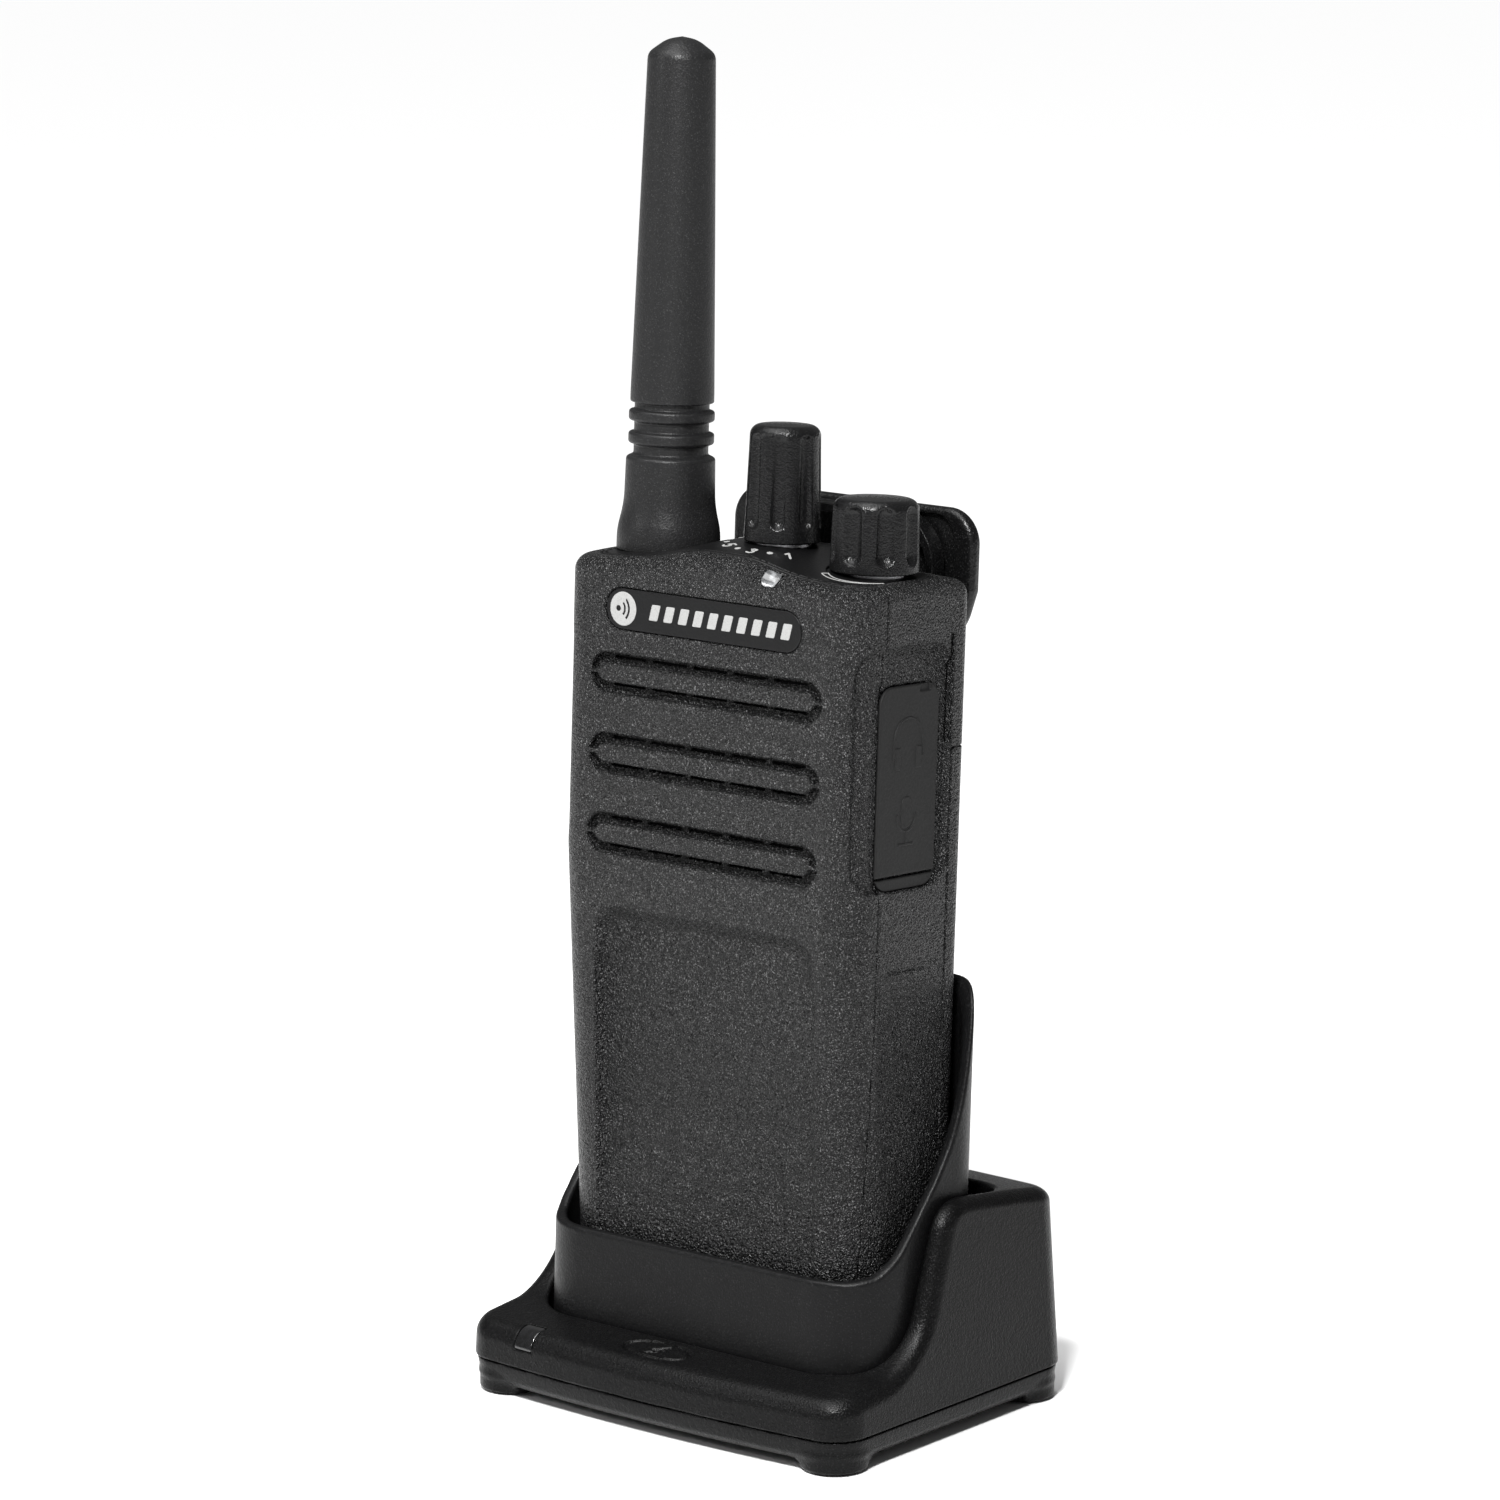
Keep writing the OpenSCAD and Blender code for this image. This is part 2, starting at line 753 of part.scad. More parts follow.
module battery_pack() {
    color([0.1, 0.12, 0.2]) seated() translate([0, 0, 5.5]) linear_extrude(62)
        plan(18, bay_y + 1.1, 23.8, 1.5, 1.5);
}

module battery_contacts() {
    color("gold") seated() for (x = [-6, 0, 6])
        block([x - 1.2, 16, 67.6], [x + 1.2, 19, shelf_z - 0.02]);
}

module charging_contacts() {
    color("gold") seated() for (side = [-1, 1]) translate([side * 8, 14, 0])
        block([-2, -1.5, 0.02], [2, 1.5, 2.4]);
}

module housing_screws() {
    color([0.6, 0.6, 0.62]) seated() {
        screw_holes(screw_r, 5.8, bay_y + 1);
        screw_holes(1.6, bay_y + 1, bay_y + 2);
        for (side = [-1, 1]) translate([side * 17, 0, 94]) {
            cyl_y(screw_r, 20.6, clip_top + 0.8);
            cyl_y(1.6, clip_top + 0.8, clip_top + 1.6);
        }
    }
}

// A rotary switch: its body under the deck and the bushing that the shaft turns in
module rotary_switch(x, top_z) {
    color([0.55, 0.55, 0.57]) seated() translate([x, top_y, 0]) difference() {
        union() {
            block([-5.8, -5.8, 102.4], [5.8, 5.8, 108.4]);
            translate([0, 0, 108.4]) cylinder(r = bushing_r, h = top_z - 108.4);
        }
        translate([0, 0, 104.4]) cylinder(r = shaft_r + run, h = 20);
    }
}

// Its shaft, with a flat on the stretch that the knob grips
module rotary_shaft(x, base_z, top_z) {
    color([0.7, 0.7, 0.72]) seated() translate([x, top_y, 0]) difference() {
        translate([0, 0, 104.5]) cylinder(r = shaft_r, h = top_z - 104.5);
        block([1.5, -5, base_z + 1.2], [5, 5, big]);
    }
}

// A fluted knob with a slightly tapered body and a bore that fits its shaft
module knob(x, base_z, r, top_r, h, flutes, flute_r, bore_h) {
    color([0.035, 0.035, 0.037]) seated() translate([x, top_y, base_z]) difference() {
        rotate_extrude() polygon(rounded([
            [0, 0, 0], [r, 0, 0.3], [top_r, h, 1.3], [0, h, 0]
        ], 5));
        for (i = [0 : flutes - 1]) rotate([0, 0, 360 * i / flutes]) {
            translate([r + flute_r * 0.35, 0, 3.2]) cylinder(r = flute_r, h = h);
            translate([r + flute_r * 0.35, 0, 3.2]) sphere(r = flute_r);
        }
        difference() {
            translate([0, 0, -1]) cylinder(r = shaft_r + 0.02, h = bore_h + 1);
            block([1.52, -5, 1.2], [5, 5, big]);
        }
    }
}

module channel_switch() { rotary_switch(channel_x, channel_base_z - 0.1); }
module channel_shaft() { rotary_shaft(channel_x, channel_base_z, channel_base_z + 12); }
module channel_knob() {
    knob(channel_x, channel_base_z, channel_knob_r, channel_knob_r - 0.5, channel_knob_h,
        8, 1.15, 12.1);
}
module volume_switch() { rotary_switch(volume_x, volume_base_z - 0.1); }
module volume_shaft() { rotary_shaft(volume_x, volume_base_z, volume_base_z + 7.5); }
module volume_knob() {
    knob(volume_x, volume_base_z, volume_knob_r, volume_knob_r - 0.3, volume_knob_h,
        8, 1.25, 7.6);
}

module antenna_sheath() {
    color([0.04, 0.04, 0.04]) seated() translate([antenna_x, top_y, antenna_z])
        rotate_extrude() polygon(concat(
            [[3.1, 0], [7.1, 0], [7.3, 1.6], [7.0, 4.2], [6.6, 7], [6.4, 9.6], [6.5, 12.4]],
            [for (i = [0 : 2]) each [
                [5.5, 13.2 + i * 3], [5.5, 14.4 + i * 3], [6.35, 14.8 + i * 3],
                [6.35, 15.8 + i * 3]
            ]],
            [[antenna_r, 22.4], [antenna_r - 1.2, antenna_h - 2.6],
                [antenna_r - 2, antenna_h - 1.4], [0, antenna_h],
                [0, antenna_h - 7], [3.1, antenna_h - 7]]
        ));
}

module antenna_ferrule() {
    color([0.75, 0.6, 0.3]) seated() translate([antenna_x, top_y, 0]) {
        translate([0, 0, 101.5]) cylinder(r = 3, h = 15.5);
        translate([0, 0, 101.5]) cylinder(r = 4.6, h = 3);
    }
}

module antenna_coil() {
    color([0.75, 0.45, 0.25]) seated() translate([antenna_x, top_y, 0])
        coil(2.3, 0.45, 118, antenna_z + antenna_h - 9, 10);
}

module side_button_board() {
    color([0.05, 0.3, 0.12]) seated() block([-22.2, 7.6, 70.6], [-21.4, 17, 100.6]);
}

module button_switches() {
    color([0.6, 0.6, 0.6]) seated() for (z = [ptt_z, upper_button_z, lower_button_z])
        translate([0, 13.4, (z[0] + z[1]) / 2]) {
            block([-24.2, -2.1, -2.1], [-22.2, 2.1, 2.1]);
            cyl_x(1.2, -24.9, -24.2);
        }
}

// A side key with an inner flange that holds it in the housing
module side_key(z, grips) {
    outer = half_w - 0.12;
    color([0.035, 0.035, 0.036]) seated() difference() {
        union() {
            block([-outer, button_y[0], z[0]], [-inner_half + 0.3, button_y[1], z[1]]);
            block([-inner_half + 0.05, button_y[0] - 0.6, z[0] - 0.45],
                [-inner_half + 0.4, button_y[1] + 0.6, z[1] + 0.45]);
        }
        for (i = [0 : grips - 1]) translate([-outer, 0, (z[0] + z[1]) / 2 + (i - (grips - 1) / 2) * 3])
            block([-1, button_y[0] + 2, -0.4], [0.25, button_y[1] - 2, 0.4]);
    }
}

module ptt_button() { side_key(ptt_z, 3); }
module side_button_upper() { side_key(upper_button_z, 1); }
module side_button_lower() { side_key(lower_button_z, 1); }

module accessory_cover() {
    color([0.05, 0.05, 0.052]) seated() difference() {
        along_x(half_w - cover_t, half_w - 0.05) polygon(rounded([
            [cover_y[0], cover_z[0], 0], [cover_y[1], cover_z[0], 0],
            [cover_y[1], cover_z[1], 2.6], [cover_y[0], cover_z[1], 2.6]
        ]));
        translate([half_w, 0, 0]) block([-0.5, 14.6, cover_z[1] - 1.2], [1, 17.4, big]);
    }
}

module cover_anchor() {
    color([0.05, 0.05, 0.052]) seated()
        block([half_w - cover_t, cover_y[0], cover_z[0] - 2.1],
            [half_w - 0.05, cover_y[1], cover_z[0] - 0.35]);
}

// A socket whose mouth opens behind the accessory cover
module jack(z, bore_r, body_r, deep) {
    mouth = half_w - cover_t - 0.2;
    color([0.07, 0.07, 0.07]) seated() translate([0, jack_y, z]) difference() {
        union() {
            cyl_x(body_r, mouth - 4, mouth);
            block([mouth - deep - 2, -body_r, -body_r], [mouth - 3, body_r, body_r]);
        }
        cyl_x(bore_r, mouth - deep, mouth + 5);
    }
}

module earphone_jack() { jack(earphone_z, earphone_r, 3, 12); }
module microphone_jack() { jack(microphone_z, microphone_r, 2.5, 10); }

// ---- belt clip ---------------------------------------------------------------------

module belt_clip_bracket() {
    color([0.05, 0.05, 0.052]) seated() difference() {
        union() {
            along_y(clip_top + 0.05, radio_d) polygon(rounded([
                [-23.3, door_top + 0.6, 1.5], [23.3, door_top + 0.6, 1.5],
                [23.3, 111.4, 6], [-23.3, 111.4, 6]
            ]));
            for (side = [-1, 1]) along_x(side * 10.2 - 1.2, side * 10.2 + 1.2)
                polygon(rounded([
                    [radio_d - 0.5, hinge_z - 5, 0], [hinge_y + 2.2, hinge_z - 2.6, 1.8],
                    [hinge_y + 2.2, hinge_z + 2.6, 1.8], [radio_d - 0.5, hinge_z + 5, 0]
                ]));
        }
        translate([0, hinge_y, hinge_z]) cyl_x(hinge_r, -20, 20);
        for (side = [-1, 1]) translate([side * 17, 0, 94]) {
            cyl_y(screw_r + 0.2, 20, 40);
            cyl_y(1.8, clip_top + 0.8, 40);
        }
    }
}

// The arch on the thumb tab, drawn in (x, z)
module arch(inset) {
    polygon(rounded([
        [inset - 18.8, 107 + inset, 2], [18.8 - inset, 107 + inset, 2],
        [18.2 - inset, 112.5, 3], [13.6 - inset, 119.8 - inset, 4],
        [inset - 13.6, 119.8 - inset, 4], [inset - 18.2, 112.5, 3]
    ]));
}

module belt_clip_arm() {
    color([0.05, 0.05, 0.052]) seated() difference() {
        union() {
            along_y(arm_y, arm_y + arm_t) polygon(rounded([
                [-9.5, arm_low_z, 4], [9.5, arm_low_z, 4], [10.5, 90, 12], [19.2, 99.5, 8],
                [22.2, 109, 10], [22.2, arm_high_z, 4.5], [-22.2, arm_high_z, 4.5],
                [-22.2, 109, 10], [-19.2, 99.5, 8], [-10.5, 90, 12]
            ]));
            // the arched rib that stiffens the thumb tab
            along_y(rib_y, arm_y + 0.2) difference() {
                arch(0);
                arch(1.3);
            }
            // the hook that holds on to the belt's lower edge
            along_x(-7, 7) polygon([
                [26.6, arm_low_z + 0.6], [arm_y + 0.2, arm_low_z + 0.2],
                [arm_y + 0.2, arm_low_z + 5.5], [26.6, arm_low_z + 2.4]
            ]);
            for (side = [-1, 1]) scale([side, 1, 1]) {
                translate([0, hinge_y, hinge_z]) cyl_x(2.3, 4.6, 8.8);
                block([4.6, hinge_y, hinge_z - 2.3], [8.8, arm_y + 0.2, hinge_z + 2.3]);
            }
        }
        translate([0, hinge_y, hinge_z]) cyl_x(hinge_r + run, -20, 20);
        // thumb hollow inside the raised rim, and clearance over the ears
        along_y(arm_y - 1, arm_y + 0.8) arch(1.3);
        for (side = [-1, 1]) scale([side, 1, 1])
            block([8.8, arm_y - 1, hinge_z - 4], [11.8, arm_y + 0.9, hinge_z + 4]);
    }
}

module belt_clip_pin() {
    color("silver") seated() translate([0, hinge_y, hinge_z]) cyl_x(hinge_r, -11.8, 11.8);
}

module belt_clip_spring() {
    color("silver") seated() translate([0, hinge_y, hinge_z]) rotate([0, 90, 0])
        coil(1.75, 0.28, -4, 4, 8);
}

cradle_top_shell();
cradle_bottom_shell();
cradle_feet();
cradle_screws();
cradle_circuit_board();
cradle_dc_inlet();
cradle_status_lens();
cradle_contact_block();
charge_pin_springs();
charge_pin_left();
charge_pin_right();
cradle_insert();
front_housing();
rear_housing();
top_deck_plate();
name_plate();
status_lens();
speaker_mesh();
speaker_frame();
speaker_cone();
microphone();
main_circuit_board();
rf_shield();
housing_gasket();
battery_pack();
battery_door();
battery_latch();
battery_contacts();
charging_contacts();
housing_screws();
channel_switch();
channel_shaft();
channel_knob();
volume_switch();
volume_shaft();
volume_knob();
antenna_sheath();
antenna_coil();
antenna_ferrule();
side_button_board();
button_switches();
ptt_button();
side_button_upper();
side_button_lower();
accessory_cover();
cover_anchor();
earphone_jack();
microphone_jack();
belt_clip_bracket();
belt_clip_arm();
belt_clip_pin();
belt_clip_spring();
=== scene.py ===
# Looks for a portable two-way radio standing in its charging cradle.
# The moulded shells are made as smooth distance fields in millimetres: a field is negative
# inside the piece, and surface() turns it into a mesh whose normals come from the field.
# Radio pieces use the radio's own upright frame: front face at y = 0, base at z = 0.
import json
import math

import bpy
import numpy as np
from mathutils import Matrix, Vector


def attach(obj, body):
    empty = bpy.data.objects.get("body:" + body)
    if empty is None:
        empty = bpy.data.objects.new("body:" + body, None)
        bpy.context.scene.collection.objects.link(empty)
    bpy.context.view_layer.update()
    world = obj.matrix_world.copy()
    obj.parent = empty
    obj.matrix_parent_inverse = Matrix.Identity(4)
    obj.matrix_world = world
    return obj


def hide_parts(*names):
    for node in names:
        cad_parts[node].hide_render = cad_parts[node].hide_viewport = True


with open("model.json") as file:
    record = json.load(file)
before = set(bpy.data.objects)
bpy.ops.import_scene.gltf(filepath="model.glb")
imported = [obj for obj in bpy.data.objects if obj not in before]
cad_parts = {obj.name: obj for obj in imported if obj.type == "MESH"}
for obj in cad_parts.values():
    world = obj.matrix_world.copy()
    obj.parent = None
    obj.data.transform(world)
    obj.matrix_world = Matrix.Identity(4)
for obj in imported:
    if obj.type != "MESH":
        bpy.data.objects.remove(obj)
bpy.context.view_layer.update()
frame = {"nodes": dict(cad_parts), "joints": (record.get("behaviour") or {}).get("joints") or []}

MM = 0.001
COARSE = 1.0
SLAB = 24                                # grid layers that are worked out at a time
SETTLE = 3                               # rounds of sliding points onto the surface
CORNERS = [(a, b, c) for a in (0, 1) for b in (0, 1) for c in (0, 1)]

# ---- measures shared with the CAD, in millimetres -------------------------------------

UP = Vector(next(j for j in frame["joints"] if j["name"] == "radio_lift")["axis"])
LEAN = math.atan2(UP.y, UP.z)
SEAT = Vector((0, -18, 11.2))            # foot of the radio's front face in the cradle
HALF_W = 27.75
DEPTH = 26.0
TOP = 112.9                              # height where the antenna and volume knob stand
SLOPE_Z = 70.0                           # the front slopes back below this
SLOPE_Y = 3.9
WALL = 1.8
SEAM_Y = 6.4
DOOR_Y = 21.7
DOOR_TOP = 88.0
CONTROL_Y = 13.7                         # antenna and knobs stand on this line
ANTENNA_X = -19.1
CHANNEL_X, VOLUME_X = (next(j["pos_m"][0] for j in frame["joints"] if j["name"] == n) * 1000
                       for n in ("channel_turn", "volume_turn"))
LENS_X = 11.0                            # middle of the status light
CHANNEL_BASE = TOP + 2.8
VOLUME_BASE = TOP + 0.2
ANTENNA_BASE = TOP + 0.1
RECESS = (68.9, 103.9)                   # lower and upper edge of the side recesses
RECESS_DEPTH = 0.8
COVER_FACE = 27.3                        # outer face of the accessory cover
CRADLE_HALF = (36.0, 28.2)
SEAM_Z = 5.3
EMBLEM = (-1.5, -22.2)                   # middle of the sunk emblem on the platform
FOOT_X, FOOT_ROWS = 30.4, (-21.4, 21.6)  # the cradle's feet
SCREW_X, SCREW_ROWS = 25, (-20.8, 21.5)  # the cradle's case screws
INSERT = (31.6, 0.6, 29.7)               # half width, front and back
INSERT_WALL = 1.7
SLOT_TOP, SLOT_PITCH = 95.7, 11.65       # height of the top sound slot, and the step down
PLATE_X, PLATE_Z = -0.75, 105.15         # middle of the name plate
COVER_Y = 12.5                           # middle of the accessory cover, front to back
COVER_SEAT = 26.75                       # inner face of the accessory cover
KEY_Y = 13.4                             # middle of the side keys, front to back
KEYS = {"ptt": (84.6, 101.6), "upper": (77.2, 82.8), "lower": (70.2, 75.8)}
SOCKETS = ((91.0, 3.05), (79.5, 2.55))   # height and passage radius of the two sockets
SOCKET_Y = 13.8
SHAFT_HOLE, ANTENNA_HOLE = 4.3, 3.6      # radii of the openings in the top
FLUTES, SHAFT_BORE = 8, 3.05             # finger flutes and shaft bore radius of each knob
PIVOT_Y, PIVOT_Z = 29.6, 102             # the belt clip's pin
MARK_RADIUS = 7.9                        # channel figures stand this far from the knob
FIRST_MARK, MARK_STEP = -43, 20          # degrees round the knob
FIGURE_SIZE, DOT = 1.3, 0.46


def seated(points):
    """Points of the radio's own frame, placed in the cradle, in metres."""
    c, s = math.cos(LEAN), math.sin(LEAN)
    x, y, z = points.T
    return np.stack([x + SEAT.x, y * c + z * s + SEAT.y, z * c - y * s + SEAT.z], 1) * MM


def standing(points):
    return points * MM


def turned(normals, place):
    """Directions turned the way place turns points."""
    origin = place(np.zeros((1, 3)))
    return (place(normals) - origin) / MM


# ---- distance fields ------------------------------------------------------------------

def both(a, b, r=0.0):
    """What lies in a and in b, with the edge between them rounded to radius r."""
    return np.minimum(-r, np.maximum(a, b)) + np.hypot(np.maximum(a + r, 0), np.maximum(b + r, 0))


def either(a, b, r=0.0):
    """What lies in a or in b, with a fillet of radius r between them."""
    return np.maximum(r, np.minimum(a, b)) - np.hypot(np.maximum(r - a, 0), np.maximum(r - b, 0))


def less(a, b, r=0.0):
    """a with b cut out of it."""
    return both(a, -b, r)


def rounded_box(u, v, half_u, half_v, r):
    p, q = np.abs(u) - half_u + r, np.abs(v) - half_v + r
    return np.hypot(np.maximum(p, 0), np.maximum(q, 0)) + np.minimum(np.maximum(p, q), 0) - r


def between(t, low, high):
    return np.abs(t - (low + high) / 2) - (high - low) / 2


def block(x, y, z, low, high, r=0.0):
    f = both(between(x, low[0], high[0]), between(y, low[1], high[1]), r)
    return both(f, between(z, low[2], high[2]), r)


def step(t):
    t = np.clip(t, 0, 1)
    return t * t * (3 - 2 * t)


def capsule(x, y, z, x0, y0, z0, z1, r):
    return np.sqrt((x - x0) ** 2 + (y - y0) ** 2 + (z - np.clip(z, z0, z1)) ** 2) - r


def plan(x, y, half, front, back, front_r, back_r):
    """Outline with one corner radius at the front and one at the back."""
    middle, deep = (front + back) / 2, (back - front) / 2
    r = np.where(y < middle, front_r, back_r)
    p, q = np.abs(x) - half + r, np.abs(y - middle) - deep + r
    return np.hypot(np.maximum(p, 0), np.maximum(q, 0)) + np.minimum(np.maximum(p, q), 0) - r


# ---- from field to mesh ---------------------------------------------------------------

def spaced(low, high, cell, fine=None):
    """Grid lines from low to high. fine = (from, to, cell) is a stretch with closer lines."""
    cell *= COARSE
    if fine is None:
        return np.linspace(low, high, max(int(math.ceil((high - low) / cell)), 4) + 1)
    a, b, close = max(fine[0], low), min(fine[1], high), fine[2] * COARSE
    parts = []
    for start, end, size in ((low, a, cell), (a, b, close), (b, high, cell)):
        if end - start > 1e-6:
            n = max(int(math.ceil((end - start) / size)), 1)
            parts.append(np.linspace(start, end, n + 1)[:-1])
    return np.concatenate(parts + [[high]])


def slope(field, p, h=0.02):
    g = np.empty_like(p)
    for k in range(3):
        d = np.zeros(3)
        d[k] = h
        a, b = p + d, p - d
        g[:, k] = (field(a[:, 0], a[:, 1], a[:, 2]) - field(b[:, 0], b[:, 1], b[:, 2])) / (2 * h)
    return g


def sampled(field, lines):
    """The field on the whole grid, closed at the grid's outer faces."""
    xs, ys, zs = lines
    f = np.empty((len(xs), len(ys), len(zs)), np.float32)
    for i in range(0, len(xs), SLAB):
        x, y, z = np.meshgrid(xs[i:i + SLAB], ys, zs, indexing="ij")
        f[i:i + SLAB] = field(x, y, z)
    for side in (0, -1):
        f[side], f[:, side], f[:, :, side] = 1, 1, 1
    return f


def crossed_cells(inside):
    """The cells that the surface passes through, and each cell's number or -1."""
    n = np.zeros([s - 1 for s in inside.shape], np.int8)
    for a, b, c in CORNERS:
        n += inside[a:inside.shape[0] - 1 + a, b:inside.shape[1] - 1 + b,
                    c:inside.shape[2] - 1 + c]
    crossed = (n > 0) & (n < len(CORNERS))
    ids = np.full(crossed.shape, -1, np.int64)
    cells = np.argwhere(crossed)
    ids[crossed] = np.arange(len(cells))
    return cells, ids


def middles(f, lines, cells):
    """For each crossed cell, the mean of the points where its edges meet the surface."""
    total, count = np.zeros((len(cells), 3)), np.zeros(len(cells))
    for k in range(3):
        for a, b in ((0, 0), (0, 1), (1, 0), (1, 1)):
            start = cells.copy()
            start[:, (k + 1) % 3] += a
            start[:, (k + 2) % 3] += b
            end = start.copy()
            end[:, k] += 1
            fa, fb = f[tuple(start.T)].astype(float), f[tuple(end.T)].astype(float)
            cut = (fa < 0) != (fb < 0)
            t = np.where(cut, fa / np.where(cut, fa - fb, 1), 0)
            pa = np.stack([lines[m][start[:, m]] for m in range(3)], 1)
            pb = np.stack([lines[m][end[:, m]] for m in range(3)], 1)
            total += np.where(cut[:, None], pa + (pb - pa) * t[:, None], 0)
            count += cut
    return total / count[:, None]


def joined(inside, ids):
    """A four-sided face across each grid edge that the surface cuts, turned outwards."""
    faces = []
    for k in range(3):
        m, q = (k + 1) % 3, (k + 2) % 3
        cut = np.moveaxis(inside, k, 0)[:-1] != np.moveaxis(inside, k, 0)[1:]
        at = np.argwhere(np.moveaxis(cut, 0, k))
        at = at[(at[:, m] > 0) & (at[:, q] > 0)]
        at = at[(at[:, m] < inside.shape[m] - 1) & (at[:, q] < inside.shape[q] - 1)]
        ring = []
        for a, b in ((1, 1), (0, 1), (0, 0), (1, 0)):
            c = at.copy()
            c[:, m] -= a
            c[:, q] -= b
            ring.append(ids[tuple(c.T)])
        ring = np.stack(ring, 1)
        outward = inside[tuple(at.T)]
        ring[~outward] = ring[~outward][:, ::-1]
        faces.append(ring)
    return np.concatenate(faces)


def settled(field, points, lines, cells):
    """Points slid along the slope onto the surface, each kept inside its own cell."""
    low = np.stack([lines[m][cells[:, m]] for m in range(3)], 1)
    high = np.stack([lines[m][cells[:, m] + 1] for m in range(3)], 1)
    for _ in range(SETTLE):
        g = slope(field, points)
        v = field(points[:, 0], points[:, 1], points[:, 2])
        points -= g * (v / np.maximum((g * g).sum(1), 0.05))[:, None]
        points = np.clip(points, low, high)
    return points


def surface(name, field, lines, place=seated, keep=1.0):
    """A closed mesh of where the field is zero, on the grid that the three lines make."""
    f = sampled(field, lines)
    inside = f < 0
    cells, ids = crossed_cells(inside)
    points = settled(field, middles(f, lines, cells), lines, cells)
    faces = joined(inside, ids)
    if keep < 1 and COARSE == 1:
        points, faces = thinned(points, faces, keep)
    return dressed(name, points, faces, field, place)


def raw_mesh(name, points, faces):
    mesh = bpy.data.meshes.new(name)
    if isinstance(faces, np.ndarray):
        sides = faces.shape[1]
        mesh.vertices.add(len(points))
        mesh.vertices.foreach_set("co", np.ascontiguousarray(points, np.float32).ravel())
        mesh.loops.add(faces.size)
        mesh.loops.foreach_set("vertex_index", faces.astype(np.int32).ravel())
        mesh.polygons.add(len(faces))
        mesh.polygons.foreach_set("loop_start", np.arange(0, faces.size, sides, dtype=np.int32))
        mesh.update(calc_edges=True)
    else:
        mesh.from_pydata([tuple(p) for p in points], [], faces)
    mesh.validate()
    return mesh


def thinned(points, faces, keep):
    """The same surface with fewer faces where it is flat."""
    mesh = raw_mesh("thinning", points, faces)
    work = bpy.data.objects.new("thinning", mesh)
    bpy.context.scene.collection.objects.link(work)
    modifier = work.modifiers.new("thin", "DECIMATE")
    modifier.ratio = keep
    graph = bpy.context.evaluated_depsgraph_get()
    done = bpy.data.meshes.new_from_object(work.evaluated_get(graph))
    done.calc_loop_triangles()
    flat = np.empty(len(done.vertices) * 3, np.float32)
    done.vertices.foreach_get("co", flat)
    corners = np.empty(len(done.loop_triangles) * 3, np.int32)
    done.loop_triangles.foreach_get("vertices", corners)
    bpy.data.objects.remove(work)
    bpy.data.meshes.remove(mesh)
    bpy.data.meshes.remove(done)
    return flat.reshape(-1, 3).astype(float), corners.reshape(-1, 3)


def dressed(name, points, faces, field, place):
    """The object of a mesh, shaded smooth by the field's own slope."""
    mesh = raw_mesh(name, place(points), faces)
    mesh.polygons.foreach_set("use_smooth", np.ones(len(mesh.polygons), bool))
    if len(mesh.vertices) == len(points):
        g = slope(field, points)
        g /= np.maximum(np.linalg.norm(g, axis=1), 1e-9)[:, None]
        mesh.normals_split_custom_set_from_vertices(turned(g, place))
    piece = bpy.data.objects.new(name, mesh)
    bpy.context.scene.collection.objects.link(piece)
    return piece


def lathe(name, profile, place, centre, segments):
    """A profile of [radius, height] turned about a vertical axis at centre."""
    points, faces, rows = [], [], []
    for r, z in profile:
        if r < 1e-6:
            rows.append([len(points)] * segments)
            points.append((centre[0], centre[1], centre[2] + z))
            continue
        rows.append(list(range(len(points), len(points) + segments)))
        for i in range(segments):
            a = 2 * math.pi * i / segments
            points.append((centre[0] + r * math.cos(a), centre[1] + r * math.sin(a), centre[2] + z))
    for lower, upper in zip(rows, rows[1:]):
        for i in range(segments):
            k = (i + 1) % segments
            ring = [lower[i], lower[k], upper[k], upper[i]]
            faces.append([v for n, v in enumerate(ring) if v not in ring[:n]])
    mesh = raw_mesh(name, place(np.array(points, float)), faces)
    mesh.polygons.foreach_set("use_smooth", np.ones(len(mesh.polygons), bool))
    piece = bpy.data.objects.new(name, mesh)
    bpy.context.scene.collection.objects.link(piece)
    return piece


def filleted(corners, steps=5):
    """An open profile of [radius, height, rounding] with its corners rounded."""
    out = [corners[0][:2]]
    for a, b, c in zip(corners, corners[1:], corners[2:]):
        r = b[2] if len(b) > 2 else 0
        if r <= 0:
            out.append(b[:2])
            continue
        p, m, q = Vector(a[:2]), Vector(b[:2]), Vector(c[:2])
        u, v = (p - m).normalized(), (q - m).normalized()
        reach = min(r, (p - m).length * 0.49, (q - m).length * 0.49)
        start, end = m + u * reach, m + v * reach
        for i in range(steps + 1):
            t = i / steps
            out.append(tuple(start * (1 - t) ** 2 + m * 2 * t * (1 - t) + end * t * t))
    out.append(corners[-1][:2])
    return out


# ---- radio housings -------------------------------------------------------------------

def body(x, y, z):
    """The radio's outside: sloping lower front, corners that widen to the base, crowned top."""
    low = 1 - z / SLOPE_Z
    front = SLOPE_Y * 0.5 * (low + np.sqrt(low * low + 4e-4))
    corner = 5.3 + 3.3 * np.clip(low, 0, 1)
    f = plan(x, y, HALF_W, front, DEPTH, corner, 3.0)
    across = ((y - CONTROL_Y) / 10.7) ** 2
    crown = 2.7 / (1 + (x / 10) ** 4) * (1 - 0.25 * across) - 0.0009 * x * x - 0.45 * across
    f = both(f, (z - TOP - crown) * 0.97, 2.0)
    return both(f, -z, 0.8)


